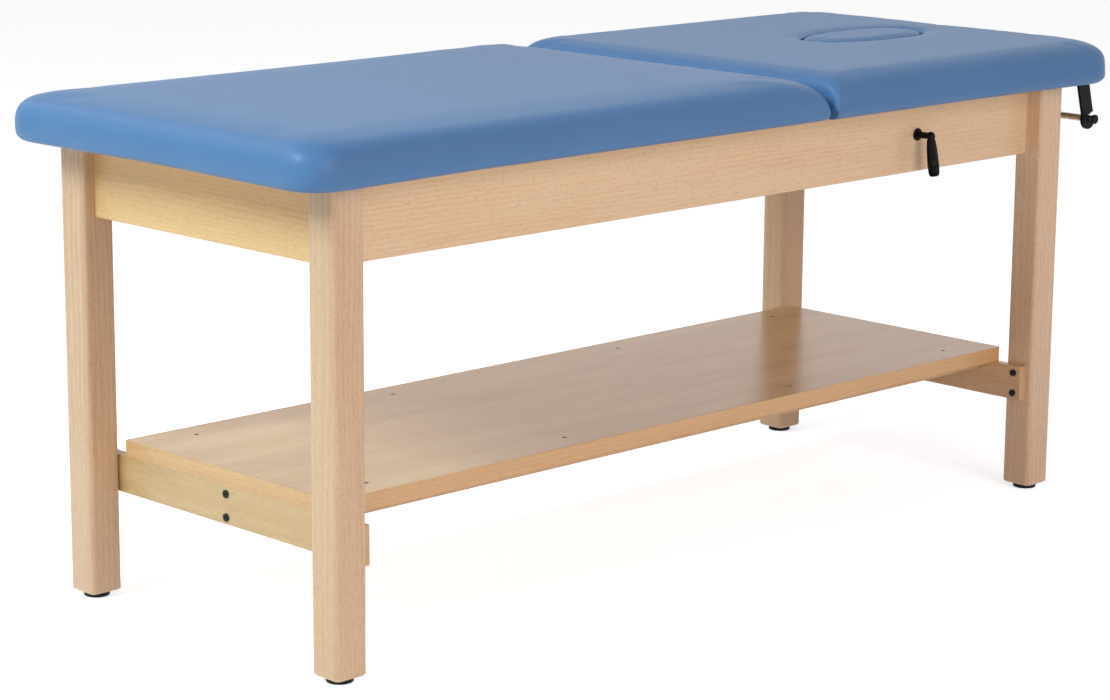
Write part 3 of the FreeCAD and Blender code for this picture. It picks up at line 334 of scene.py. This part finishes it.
# Boards: birch plywood under each cushion, cut to the cushion's outline with rounded corners.
# The faces are plain pale veneer, and the edges show the plies as thin light and dark lines.
def plywood(name):
    """Plywood: veneer grain along X, and one light and one dark ply to each wave on the edges."""
    ply_mm = 1.5
    grain_mm = (130.0, 5.0, 5.0)
    material, tree, in_mm = start_material(name)
    grain_place = add(tree, "Mapping", {"Vector": in_mm, "Scale": [1 / s for s in grain_mm]})
    grain = add(tree, "TexNoise", {"Vector": grain_place.outputs["Vector"], "Scale": 1.0, "Detail": 3.0})
    plies = add(tree, "TexWave", {"Vector": in_mm, "Scale": math.pi / 20 / ply_mm, "Distortion": 0.4,
                                  "Detail Scale": 0.05}, wave_type="BANDS", bands_direction="Z")
    share = add(tree, "Math", {0: grain.outputs["Fac"], 1: plies.outputs["Fac"]}, operation="MULTIPLY")
    tone = add(tree, "MixRGB", {"Fac": share.outputs["Value"], "Color1": linear("#E3CDA6"),
                                "Color2": linear("#B78F5F")})
    rough = add(tree, "MapRange", {"Value": grain.outputs["Fac"], "To Min": 0.5, "To Max": 0.72})
    bump = add(tree, "Bump", {"Height": share.outputs["Value"], "Strength": 0.2, "Distance": 0.2 * mm})
    finish_surface(tree, add(tree, "BsdfPrincipled", {
        "Base Color": tone.outputs["Color"], "Roughness": rough.outputs["Result"], "IOR": 1.5,
        "Normal": bump.outputs["Normal"]}))
    return material


dress(["foot_board", "back_board", "face_plug_base"], plywood("birch_plywood"))


# Foot cushion: firm foam on its board, under one tight piece of blue upholstery vinyl.
# The cover is drawn over the edge, so the rim is a full soft round and the top is lightly crowned.
def upholstery_vinyl(name):
    """Embossed vinyl: a leather-like net of fine creases with painted shade in them, satin, with a pale gleam
    at low angles.

    The real creases are about 1 mm apart; they are drawn at 2.4 mm so that they show."""
    crease_mm = 2.4
    pore_mm = 0.9
    cloud_mm = 130.0
    material, tree, in_mm = start_material(name)
    creases = add(tree, "TexVoronoi", {"Vector": in_mm, "Scale": 1 / crease_mm, "Randomness": 0.9},
                  feature="DISTANCE_TO_EDGE")
    pores = add(tree, "TexNoise", {"Vector": in_mm, "Scale": 1 / pore_mm, "Detail": 2.0})
    clouds = add(tree, "TexNoise", {"Vector": in_mm, "Scale": 1 / cloud_mm, "Detail": 2.0})
    pebble = add(tree, "MapRange", {"Value": creases.outputs["Distance"], "From Max": 0.22},
                 interpolation_type="SMOOTHSTEP")
    relief = add(tree, "Math", {0: pores.outputs["Fac"], 1: 0.35, 2: pebble.outputs["Result"]},
                 operation="MULTIPLY_ADD")
    cloud_tone = add(tree, "MixRGB", {"Fac": clouds.outputs["Fac"], "Color1": linear("#4C77A9"),
                                      "Color2": linear("#537FB2")})
    # painted shade: the creases are coloured a darker blue, as if they lay in shadow
    painted_crease_shade = add(tree, "MapRange", {"Value": pebble.outputs["Result"], "To Min": 0.3, "To Max": 0.0})
    tone = add(tree, "MixRGB", {"Fac": painted_crease_shade.outputs["Result"], "Color1": cloud_tone.outputs["Color"],
                                "Color2": linear("#3D699E")})
    gleam = add(tree, "MapRange", {"Value": relief.outputs["Value"], "From Max": 1.35, "To Min": 0.48,
                                   "To Max": 0.38})
    bump = add(tree, "Bump", {"Height": relief.outputs["Value"], "Strength": 0.1, "Distance": 0.25 * mm})
    finish_surface(tree, add(tree, "BsdfPrincipled", {
        "Base Color": tone.outputs["Color"], "Roughness": gleam.outputs["Result"], "IOR": 1.36,
        "Normal": bump.outputs["Normal"]}))
    return material


same_place = 0.01 * mm


def edges_at(bm, z):
    """The edges of the outline drawn at height z."""
    return [edge for edge in bm.edges if all(abs(vert.co.z - z) < same_place for vert in edge.verts)]


def draw_outline(bm, z, ends, half_width, radii):
    """Draws a level outline: a rectangle between two X ends, with its own corner radius at each end."""
    made = bmesh.ops.create_grid(bm, x_segments=1, y_segments=1, size=0.5)["verts"]
    bmesh.ops.scale(bm, vec=(ends[1] - ends[0], 2 * half_width, 1), verts=made)
    bmesh.ops.translate(bm, vec=((ends[0] + ends[1]) / 2, 0, z), verts=made)
    for x, radius in zip(ends, radii):
        corners = [vert for vert in bm.verts
                   if abs(vert.co.z - z) < same_place and abs(vert.co.x - x) < same_place]
        bmesh.ops.bevel(bm, geom=corners, offset=radius, offset_type="OFFSET", affect="VERTICES", segments=8,
                        profile=0.5, material=-1)


hinge_low, hinge_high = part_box("hinge_pin")
hinge_z = (hinge_low.z + hinge_high.z) / 2
break_x = (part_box("foot_cushion")[1].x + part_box("back_cushion")[0].x) / 2
# a cover ends break_room short of the break, and barrel_room short of it beside the hinge's barrel; its blank
# starts out break_lap too long, because smoothing draws the end back
break_room = 0.5 * mm
break_lap = 9 * mm
barrel_room = 5 * mm
foam_give = 4 * mm


def cushion_blank(low, high, toward, break_round, break_radii, side_pull, end_pull):
    """A cushion a little flatter than its box: round corners and rims, and its break end rolled over.

    toward is +1 where the break is at the +X end, and -1 where it is at the -X end. break_round is the depth
    and the height of the roll. The break's corners are tight at the board and rounder at the top, as pulled
    vinyl is, and break_radii are these two radii. The blank is wider by side_pull and longer by end_pull,
    because the cover pulls in as it swells."""
    corner_radius = 58 * mm
    top_round, bottom_round = 33 * mm, 15 * mm
    half_width = high.y + side_pull
    top, bottom = high.z - foam_give, low.z
    levels = []
    for turn in (0, 25, 50, 90):
        sweep = math.radians(turn)
        levels.append((bottom + bottom_round * (1 - math.cos(sweep)),
                       bottom_round * (1 - math.sin(sweep))))
    upright = top - top_round - bottom - bottom_round
    levels += [(bottom + bottom_round + upright * share, 0) for share in (0.3, 0.6)]
    for turn in (0, 15, 30, 45, 60, 75, 90):
        sweep = math.radians(turn)
        levels.append((top - top_round * (1 - math.sin(sweep)), top_round * (1 - math.cos(sweep))))
    roll_depth, roll_height = break_round
    tight_radius, full_radius = break_radii
    bm = bmesh.new()
    for z, inset in levels:
        rise = (z - bottom) / (top - bottom)
        climb = max(0, 1 - (top - z) / roll_height)
        break_inset = roll_depth * (1 - math.sqrt(1 - climb ** 2)) - break_lap
        radii = [corner_radius, tight_radius + (full_radius - tight_radius) * rise ** 2]
        ends = [low.x - end_pull + inset, high.x - break_inset]
        if toward < 0:
            ends = [low.x + break_inset, high.x + end_pull - inset]
            radii.reverse()
        draw_outline(bm, z, ends, half_width - inset, radii)
    heights = [level[0] for level in levels]
    floor_z, ceiling_z = bottom + same_place, top - same_place
    between = [face for face in bm.faces if floor_z < face.calc_center_median().z < ceiling_z]
    bmesh.ops.delete(bm, geom=between, context="FACES_ONLY")
    for lower, upper in zip(heights, heights[1:]):
        bmesh.ops.bridge_loops(bm, edges=edges_at(bm, lower) + edges_at(bm, upper))
    return bm


def draw_in(piece, low, high, toward, draw, hang):
    """Draws the long sides in between the corners, and lets the lower rim hang at the outer corners.

    At the break, the cover is pressed flat against the other cushion's, and below that it is kept clear of
    the hinge's barrel."""
    reach = 420 * mm
    rim_height = 30 * mm
    # beyond these distances from the table's middle, the rim hangs clear of the legs
    clear_from_x, clear_from_y = 852 * mm, 326 * mm
    overhang_fade = 20 * mm
    outer = low.x if toward > 0 else high.x
    for vert in piece.data.vertices:
        along = (vert.co.x - low.x) / (high.x - low.x)
        bow = 1 - (2 * along - 1) ** 4
        side = abs(vert.co.y) / high.y
        vert.co.y -= math.copysign(draw * bow * side ** 6, vert.co.y)
        to_corner = min(math.hypot(vert.co.x - outer, abs(vert.co.y) - high.y) / reach, 1)
        rim = max(0, 1 - (vert.co.z - low.z) / rim_height)
        past_legs = max(abs(vert.co.y) - clear_from_y, abs(vert.co.x) - clear_from_x, 0)
        overhang = min(past_legs / overhang_fade, 1)
        vert.co.z -= hang * (1 - to_corner) ** 2 * (1 + 2 * to_corner) * rim * overhang
        room = break_room if vert.co.z > hinge_z + barrel_room else barrel_room
        beyond = toward * (vert.co.x - break_x) + room
        if beyond > 0:
            vert.co.x -= toward * beyond


def remeshed(piece, modifier_settings):
    """Applies modifiers, given as (type, settings), to a piece's mesh."""
    for kind, settings in modifier_settings:
        modifier = piece.modifiers.new(kind.lower(), kind)
        for name, value in settings.items():
            setattr(modifier, name, value)
    evaluated = piece.evaluated_get(bpy.context.evaluated_depsgraph_get())
    mesh = bpy.data.meshes.new_from_object(evaluated)
    piece.modifiers.clear()
    old = piece.data
    piece.data = mesh
    bpy.data.meshes.remove(old)


def swell(piece, held, give):
    """Swells the cover by air pressure with the held points fixed; no point travels further than give."""
    frames = 20
    scene = bpy.context.scene
    before = [vert.co.copy() for vert in piece.data.vertices]
    group = piece.vertex_groups.new(name="held")
    group.add([i for i, place in enumerate(before) if held(place)], 1.0, "REPLACE")
    cloth = piece.modifiers.new("swell", "CLOTH")
    cloth.settings.quality = 3
    cloth.settings.mass = 0.4
    cloth.settings.tension_stiffness = 25
    cloth.settings.compression_stiffness = 25
    cloth.settings.use_pressure = True
    cloth.settings.uniform_pressure_force = 4
    cloth.settings.vertex_group_mass = "held"
    cloth.settings.effector_weights.gravity = 0
    cloth.collision_settings.use_collision = False
    for frame_number in range(1, frames + 1):
        scene.frame_set(frame_number)
    evaluated = piece.evaluated_get(bpy.context.evaluated_depsgraph_get())
    swollen = [vert.co.copy() for vert in evaluated.data.vertices]
    piece.modifiers.clear()
    piece.vertex_groups.clear()
    scene.frame_set(1)
    for vert, start, end in zip(piece.data.vertices, before, swollen):
        travel = end - start
        if travel.length > 0:
            travel *= give * math.tanh(travel.length / give) / travel.length
        vert.co = start + travel


def settle(piece, passes):
    """Evens out a cover by smoothing its points."""
    bm = bmesh.new()
    bm.from_mesh(piece.data)
    for _ in range(passes):
        bmesh.ops.smooth_vert(bm, verts=bm.verts, factor=0.5,
                              use_axis_x=True, use_axis_y=True, use_axis_z=True)
    bm.to_mesh(piece.data)
    bm.free()


def finish_cover(piece, coarse):
    """Gives a cover smooth shading and the vinyl, after one subdivision where its mesh is coarse."""
    if coarse:
        remeshed(piece, [("SUBSURF", {"levels": 1, "render_levels": 1})])
    for polygon in piece.data.polygons:
        polygon.use_smooth = True
    piece.data.materials.clear()
    piece.data.materials.append(blue_vinyl)


break_slope = {1: math.radians(35), -1: math.radians(22)}


def fold_plane(toward):
    """A point on the slope where the cushions meet when the back-rest is up, and the way the slope faces."""
    slope = break_slope[toward]
    return (break_x - toward * break_room, 0, hinge_z), (toward * math.cos(slope), 0, math.sin(slope))


def squeeze(piece):
    """Gives a piece its own copy of its mesh."""
    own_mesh(piece)


def cut_and_cap(bm, place, normal, keep_inner):
    """Cuts a closed mesh along a plane, keeps one side and closes the cut with a sharp-edged face."""
    bmesh.ops.bisect_plane(bm, geom=[*bm.verts, *bm.edges, *bm.faces], plane_co=place, plane_no=normal,
                           clear_outer=keep_inner, clear_inner=not keep_inner)
    rim = [edge for edge in bm.edges if edge.is_boundary]
    for edge in rim:
        edge.smooth = False
    cap = bmesh.ops.holes_fill(bm, edges=rim, sides=0)["faces"]
    bmesh.ops.triangulate(bm, faces=cap)


def part_end(pad, toward, name, body):
    """Parts a cushion's rolled end from the rest along that slope, as a piece of its own.

    The end stops above the hinge's barrel."""
    foot_of_slope, outward = fold_plane(toward)
    rest_bm, end_bm = bmesh.new(), bmesh.new()
    rest_bm.from_mesh(pad.data)
    end_bm.from_mesh(pad.data)
    cut_and_cap(rest_bm, foot_of_slope, outward, keep_inner=True)
    cut_and_cap(end_bm, foot_of_slope, outward, keep_inner=False)
    cut_and_cap(end_bm, (0, 0, hinge_z + barrel_room), (0, 0, 1), keep_inner=False)
    rest_bm.to_mesh(pad.data)
    rest_bm.free()
    end = new_piece(name, end_bm, body, blue_vinyl, smooth=True)
    squeeze(end)


board_grip = 12 * mm
blue_vinyl = upholstery_vinyl("blue_upholstery_vinyl")
foot_low, foot_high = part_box("foot_cushion")
foot_blank = cushion_blank(foot_low, foot_high, 1, break_round=(63 * mm, 58 * mm),
                           break_radii=(20 * mm, 66 * mm), side_pull=5 * mm, end_pull=4 * mm)
foot_pad = new_piece("foot_pad_cover", foot_blank, "frame", blue_vinyl)
remeshed(foot_pad, [("REMESH", {"mode": "VOXEL", "voxel_size": 9 * mm})])
settle(foot_pad, passes=3)
swell(foot_pad, lambda place: place.z < foot_low.z + board_grip, foam_give)
settle(foot_pad, passes=2)
draw_in(foot_pad, foot_low, foot_high, 1, draw=2.5 * mm, hang=3.5 * mm)
finish_cover(foot_pad, coarse=True)
whole_foot_pad = foot_pad.data.copy()
part_end(foot_pad, 1, "foot_pad_end", "frame")
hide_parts("foot_cushion")


# Back-rest cushion: made like the foot cushion, with an oval face opening near the head end.
# The vinyl is drawn down into the opening, so its rim is a soft round.
def extrude(bm, faces):
    """Extrudes faces, not yet moved, and returns the new points and the new faces."""
    made = bmesh.ops.extrude_face_region(bm, geom=faces)["geom"]
    points = [item for item in made if isinstance(item, bmesh.types.BMVert)]
    return points, [item for item in made if isinstance(item, bmesh.types.BMFace)]


def oval_prism(middle, half_length, half_width, low_z, high_z, flare):
    """An upright prism on a full oval outline, its rim rounded outwards by flare, or inwards if negative."""
    fullness = 2.3
    bm = bmesh.new()
    made = bmesh.ops.create_circle(bm, cap_ends=True, segments=72, radius=1.0)["verts"]
    for vert in made:
        x, y = vert.co.x, vert.co.y
        vert.co.x = math.copysign(abs(x) ** (2 / fullness), x) * half_length
        vert.co.y = math.copysign(abs(y) ** (2 / fullness), y) * half_width
    bmesh.ops.translate(bm, vec=(middle.x, middle.y, low_z), verts=made)
    rim = abs(flare)
    rise_to = [(high_z - rim, 0.0)]
    for turn in (25, 50, 70, 90):
        sweep = math.radians(turn)
        rise_to.append((high_z - rim * (1 - math.sin(sweep)), flare * (1 - math.cos(sweep))))
    face = max(bm.faces, key=lambda f: f.calc_center_median().z)
    z_now, grown_now = low_z, 0.0
    for z, grown in rise_to:
        lifted, faces = extrude(bm, [face])
        face = faces[0]
        wide = (half_length + grown) / (half_length + grown_now)
        deep = (half_width + grown) / (half_width + grown_now)
        to_middle = Matrix.Translation(-Vector((middle.x, middle.y, 0)))
        bmesh.ops.scale(bm, vec=(wide, deep, 1), verts=lifted, space=to_middle)
        bmesh.ops.translate(bm, vec=(0, 0, z - z_now), verts=lifted)
        z_now, grown_now = z, grown
    bmesh.ops.recalc_face_normals(bm, faces=bm.faces)
    return bm


plug_low, plug_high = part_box("face_plug_cushion")
plug_middle = (plug_low + plug_high) / 2
plug_half_length = (plug_high.x - plug_low.x) / 2
plug_half_width = (plug_high.y - plug_low.y) / 2
plug_gap = 4 * mm
opening_flare = 2.5 * mm
opening_grip = 0.06
cut_above, cut_below = 1 * mm, 20 * mm
back_low, back_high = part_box("back_cushion")
back_blank = cushion_blank(back_low, back_high, -1, break_round=(22 * mm, 22 * mm),
                           break_radii=(6 * mm, 26 * mm), side_pull=2.5 * mm, end_pull=-1 * mm)
back_pad = new_piece("back_pad_cover", back_blank, "back_rest", blue_vinyl)
cutter_mesh = bpy.data.meshes.new("opening_cutter")
cutter_bm = oval_prism(plug_middle, plug_half_length + plug_gap, plug_half_width + plug_gap,
                       back_low.z - cut_below, back_high.z - foam_give + cut_above, opening_flare)
cutter_bm.to_mesh(cutter_mesh)
cutter_bm.free()
cutter = bpy.data.objects.new("opening_cutter", cutter_mesh)
bpy.context.scene.collection.objects.link(cutter)
remeshed(back_pad, [("BOOLEAN", {"operation": "DIFFERENCE", "object": cutter, "solver": "EXACT"}),
                    ("REMESH", {"mode": "VOXEL", "voxel_size": 5 * mm})])
bpy.data.objects.remove(cutter)


def round_opening(place):
    """How far outside the plug's oval a point lies, as a share of the plug's size."""
    across = abs(place.x - plug_middle.x) / plug_half_length
    along = abs(place.y - plug_middle.y) / plug_half_width
    return math.hypot(across, along) - 1


settle(back_pad, passes=3)
swell(back_pad, lambda place: place.z < back_low.z + board_grip or round_opening(place) < opening_grip,
      foam_give)
settle(back_pad, passes=2)
draw_in(back_pad, back_low, back_high, -1, draw=2.5 * mm, hang=2 * mm)
finish_cover(back_pad, coarse=False)
whole_back_pad = back_pad.data.copy()
part_end(back_pad, -1, "back_pad_end", "back_rest")
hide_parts("back_cushion")


# Face plug: a small padded oval on its own plywood base that fills the face opening.
# Its cover is drawn tight, so the rim is a soft round and the top lies level with the cushion round it.
plug_proud = 1 * mm
plug_rim = 11 * mm
plug_grip = 8 * mm
plug_bm = oval_prism(plug_middle, plug_half_length - foam_give / 2, plug_half_width - foam_give / 2,
                     plug_low.z, plug_high.z + plug_proud - foam_give / 2, -plug_rim)
plug = new_piece("face_plug_cover", plug_bm, "face_plug", blue_vinyl)
remeshed(plug, [("REMESH", {"mode": "VOXEL", "voxel_size": 3.5 * mm})])
settle(plug, passes=3)
swell(plug, lambda place: place.z < plug_low.z + plug_grip, foam_give / 2)
settle(plug, passes=1)
finish_cover(plug, coarse=True)
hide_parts("face_plug_cushion")


# Corner pleats: where the cover turns the corner at the break, its spare vinyl is folded flat in two pleats.
# Each pleat is a narrow wedge of doubled vinyl on the cushion's end, thickest at its folded edge.
def pleat_sheet(bm, surface, toward, corner_y, from_corner):
    """Lays one pleat on a cushion's end, moving each of its points to the cover's nearest point."""
    width, length, thick = 5 * mm, 30 * mm, 2.2 * mm
    sunk = 0.5 * mm
    narrowing, rising_share, falling_share = 0.35, 0.75, 0.12
    bottom = hinge_z + 12 * mm
    made = bmesh.ops.create_grid(bm, x_segments=6, y_segments=10, size=0.5)["verts"]
    for vert in made:
        across, up = vert.co.x + 0.5, vert.co.y + 0.5
        y = math.copysign(abs(corner_y) - from_corner - across * width * (1 - narrowing * up), corner_y)
        near = Vector((break_x - toward * break_room, y, bottom + up * length))
        place, outward, _, _ = surface.find_nearest(near)
        fold = min(across / rising_share, (1 - across) / falling_share, 1)
        vert.co = place + outward * (thick * fold * (1 - up) ** 0.7 - sunk)


pleat_places = (24 * mm, 32 * mm)
vinyl_thick = 0.8 * mm
for whole, toward, body in ((whole_foot_pad, 1, "frame"), (whole_back_pad, -1, "back_rest")):
    whole_bm = bmesh.new()
    whole_bm.from_mesh(whole)
    surface = BVHTree.FromBMesh(whole_bm)
    whole_bm.free()
    bpy.data.meshes.remove(whole)
    bm = bmesh.new()
    for corner_y in (foot_low.y, foot_high.y):
        for from_corner in pleat_places:
            pleat_sheet(bm, surface, toward, corner_y, from_corner)
    bmesh.ops.recalc_face_normals(bm, faces=bm.faces)
    bmesh.ops.solidify(bm, geom=bm.faces, thickness=vinyl_thick)
    squeeze(new_piece(body + "_cover_pleats", bm, body, blue_vinyl, smooth=True))


# Turned-under edge: the cover's rim is drawn round the board, folded once and stapled to its underside.
# It shows only from below, as a narrow band of vinyl with a row of steel staples.
edge_width = 14 * mm
edge_thick = 1.0 * mm
edge_inset = 1 * mm
outer_radius, inner_radius = 44 * mm, 36 * mm
outer_drop, inner_drop = 0.2 * mm, 0.3 * mm
edge_to_break = 30 * mm
staple_step = 55 * mm
staple_margin = 60 * mm
staple_to_break = 40 * mm
staple_arris = 0.3 * mm
staple_size = Vector((10 * mm, 1.1 * mm, 0.9 * mm))
for node, toward, body in (("foot_board", 1, "frame"), ("back_board", -1, "back_rest")):
    board_low, board_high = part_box(node)
    outer, inner = board_low.z - outer_drop, board_low.z - inner_drop
    bm = bmesh.new()
    for z, inset, radius in ((outer, edge_inset, outer_radius), (inner, edge_width, inner_radius)):
        ends = (board_low.x + inset, board_high.x - inset)
        draw_outline(bm, z, ends, board_high.y - inset, (radius, radius))
    bmesh.ops.delete(bm, geom=list(bm.faces), context="FACES_ONLY")
    bmesh.ops.bridge_loops(bm, edges=edges_at(bm, outer) + edges_at(bm, inner))
    bmesh.ops.bisect_plane(bm, geom=[*bm.verts, *bm.edges, *bm.faces], plane_no=(toward, 0, 0),
                           plane_co=(break_x - toward * edge_to_break, 0, 0), clear_outer=True)
    lowered, _ = extrude(bm, list(bm.faces))
    bmesh.ops.translate(bm, vec=(0, 0, -edge_thick), verts=lowered)
    new_piece(body + "_cover_edge", bm, body, blue_vinyl)
    bm = bmesh.new()
    row = edge_width / 2
    outer_x = board_low.x + row if toward > 0 else board_high.x - row
    run = abs(break_x - outer_x) - staple_margin - staple_to_break
    for step in range(int(run / staple_step)):
        x = outer_x + toward * (staple_margin + step * staple_step)
        for y in (board_low.y + row, board_high.y - row):
            middle = Vector((x, y, inner - edge_thick))
            add_block(bm, middle - staple_size / 2, middle + staple_size / 2, staple_arris)
    across = staple_size.yxz
    for step in range(int((board_high.y - board_low.y - 2 * staple_margin) / staple_step) + 1):
        middle = Vector((outer_x, board_low.y + staple_margin + step * staple_step, inner - edge_thick))
        add_block(bm, middle - across / 2, middle + across / 2, staple_arris)
    new_piece(body + "_cover_staples", bm, body, zinc_steel)


# Long hinge and its screws: zinc-plated steel, let into the boards under the break.
# The back-rest turns on its pin.
dress(["hinge_leaf_fixed", "hinge_leaf_moving", "hinge_pin", "hinge_screws_fixed", "hinge_screws_moving"],
      zinc_steel)


# Lock: a lever on the front apron clamps the back-rest's stay between two plates.
# The lever and its flange are satin black mouldings. The hidden plates, stay and bolt are zinc-plated.
lever_black = dark_finish("satin_black_lever", "#08090C", roughness=0.32, grain_mm=1.0, relief=0.08,
                          shine=0.1)
dress(["lock_lever", "lock_escutcheon"], lever_black)
dress(["lock_backing_plate", "lock_clamp_plate", "lock_spacers", "lock_bolt", "lock_plate_screws",
       "lock_stay", "stay_bracket", "stay_bracket_screws", "stay_pin"], zinc_steel)


# Lever grip: a full, eight-sided sleeve of satin black plastic moulded over the lever's handle.
# It swells towards its lower end, and its edges and its end are rounded.
grip_sides = 8
handle_lean = math.radians(9)
knuckle_radius = 7.5 * mm
hub_reach = 25.5 * mm
grip_edge_round = 1.2 * mm
# the edges that climb by more than this run along the handle
level_rise = 1 * mm
# distance down the handle, width and depth in mm
grip_stations = ((3, 11, 10), (7, 15, 13.5), (18, 18.2, 16), (33, 20, 17.5), (50, 21, 18.2), (61, 19.6, 17),
                 (65.5, 16.5, 14.5), (67, 12, 10.5))
lever_low, lever_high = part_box("lock_lever")
knuckle = Vector(((lever_low.x + lever_high.x) / 2, lever_high.y - hub_reach, lever_high.z - knuckle_radius))
grip_bm = bmesh.new()
ring = bmesh.ops.create_circle(grip_bm, cap_ends=True, segments=grip_sides,
                               radius=0.5 / math.cos(math.pi / grip_sides))["verts"]
bmesh.ops.rotate(grip_bm, matrix=Matrix.Rotation(math.pi / grip_sides, 3, "Z"), verts=ring)
down, wide, deep = grip_stations[0]
bmesh.ops.scale(grip_bm, vec=(wide * mm, deep * mm, 1), verts=ring)
bmesh.ops.translate(grip_bm, vec=(0, 0, -down * mm), verts=ring)
end_face = next(iter(grip_bm.faces))
for (down, wide, deep), (next_down, next_wide, next_deep) in zip(grip_stations, grip_stations[1:]):
    ring, end_faces = extrude(grip_bm, [end_face])
    end_face = end_faces[0]
    bmesh.ops.scale(grip_bm, vec=(next_wide / wide, next_deep / deep, 1), verts=ring)
    bmesh.ops.translate(grip_bm, vec=(0, 0, (down - next_down) * mm), verts=ring)
long_edges = [edge for edge in grip_bm.edges if abs(edge.verts[0].co.z - edge.verts[1].co.z) > level_rise]
bmesh.ops.bevel(grip_bm, geom=long_edges, offset=grip_edge_round, offset_type="OFFSET", affect="EDGES",
                segments=2, profile=0.5, material=-1)
bmesh.ops.rotate(grip_bm, matrix=Matrix.Rotation(-handle_lean, 3, "X"), verts=grip_bm.verts)
bmesh.ops.translate(grip_bm, vec=knuckle, verts=grip_bm.verts)
new_piece("lock_lever_grip", grip_bm, "lock_lever", lever_black, smooth=True)


# Paper-roll holder: two black lacquered steel hooks under the head end carry a plated rod with black caps.
# The rod is bright nickel with a warm brass tint and fine lines from polishing.
bracket_black = dark_finish("black_lacquered_steel", "#0C1118", roughness=0.38, grain_mm=1.4, relief=0.12,
                            shine=0.09)
dress(["paper_bracket_front", "paper_bracket_back"], bracket_black)
dress(["paper_bracket_screws"], zinc_steel)
dress(["paper_rod"], plated_steel("brass_tinted_nickel", "#D3C8B4", roughness=0.14))
dress(["paper_rod_caps"], lever_black)


# Studio: a seamless white floor and backdrop, with a soft light from the foot end, a wider, weaker one from
# the front and a faint one from behind. The camera stands where the photograph was taken from.
def seen_directly(tree):
    """1 for camera, glossy and transmission rays, which show the white backdrop, and 0 for all others."""
    rays = add(tree, "LightPath", {}).outputs
    camera_or_gloss = add(tree, "Math", {0: rays["Is Camera Ray"], 1: rays["Is Glossy Ray"]},
                          operation="MAXIMUM")
    seen = add(tree, "Math", {0: camera_or_gloss.outputs["Value"], 1: rays["Is Transmission Ray"]},
               operation="MAXIMUM")
    return seen.outputs["Value"]


def studio_floor():
    """A matt white floor that the camera sees lifted to the backdrop's white, with the shadow left on it."""
    haze_mm = 900.0
    material, tree, in_mm = start_material("white_floor")
    haze = add(tree, "TexNoise", {"Vector": in_mm, "Scale": 1 / haze_mm, "Detail": 1.0})
    tone = add(tree, "MixRGB", {"Fac": haze.outputs["Fac"], "Color1": linear("#F8F8F8"),
                                "Color2": linear("#FCFCFC")})
    diffuse = add(tree, "BsdfDiffuse", {"Color": tone.outputs["Color"]})
    lifted = add(tree, "Emission", {"Color": linear("#D1D7DD"), "Strength": seen_directly(tree)})
    both = add(tree, "AddShader", {0: diffuse.outputs["BSDF"], 1: lifted.outputs["Emission"]})
    add(tree, "OutputMaterial", {"Surface": both.outputs["Shader"]})
    return material


floor_reach = 30.0
floor_bm = bmesh.new()
bmesh.ops.create_grid(floor_bm, x_segments=1, y_segments=1, size=floor_reach)
floor_mesh = bpy.data.meshes.new("floor")
floor_bm.to_mesh(floor_mesh)
floor_bm.free()
floor_mesh.materials.append(studio_floor())
floor = bpy.data.objects.new("floor", floor_mesh)
bpy.context.scene.collection.objects.link(floor)

world = bpy.data.worlds.new("studio")
world.use_nodes = True
world_tree = world.node_tree
world_tree.nodes.clear()
glow = add(world_tree, "MixRGB", {"Fac": seen_directly(world_tree), "Color1": linear("#93887D"),
                                  "Color2": linear("#FFFFFF")})
sky = add(world_tree, "Background", {"Color": glow.outputs["Color"], "Strength": 1.0})
add(world_tree, "OutputWorld", {"Surface": sky.outputs["Background"]})
bpy.context.scene.world = world


def soft_light(name, place, aim, size, watts, colour):
    """A square light at place, turned towards aim, with its size in metres."""
    lamp = bpy.data.lights.new(name, "AREA")
    lamp.color = linear(colour)[:3]
    lamp.shape = "SQUARE"
    lamp.size = size
    lamp.energy = watts
    light = bpy.data.objects.new(name, lamp)
    light.location = place
    light.rotation_euler = (Vector(aim) - Vector(place)).to_track_quat("-Z", "Y").to_euler()
    bpy.context.scene.collection.objects.link(light)


soft_light("foot_end_light", (-3.7, 0.6, 3.2), aim=(0, 0, 0.5), size=1.5, watts=136, colour="#EAFFFF")
soft_light("front_light", (-0.5, -4.4, 2.1), aim=(-0.1, 0, 0.5), size=2.6, watts=84, colour="#FFF6F8")
soft_light("back_light", (-1.6, 4.2, 4.2), aim=(0.1, 0, 0.5), size=2.4, watts=26, colour="#FFF6EE")

yaw, pitch, roll = math.radians(44.4), math.radians(-12.3), math.radians(0.4)
camera_place = Vector((-3.5228, -3.4935, 1.3970))
photo_width_px = 1110
focal_px = 3081.1
ahead = Vector((math.sin(yaw) * math.cos(pitch), math.cos(yaw) * math.cos(pitch), math.sin(pitch)))
level_right = Vector((math.cos(yaw), -math.sin(yaw), 0))
level_up = level_right.cross(ahead)
right = level_right * math.cos(roll) + level_up * math.sin(roll)
up = level_up * math.cos(roll) - level_right * math.sin(roll)
camera = bpy.data.objects.new("camera", bpy.data.cameras.new("camera"))
camera.matrix_world = Matrix.Translation(camera_place) @ Matrix((right, up, -ahead)).transposed().to_4x4()
camera.data.sensor_width = 36
camera.data.lens = focal_px / photo_width_px * camera.data.sensor_width
bpy.context.scene.collection.objects.link(camera)
bpy.context.scene.camera = camera
bpy.context.scene.view_settings.view_transform = "Standard"
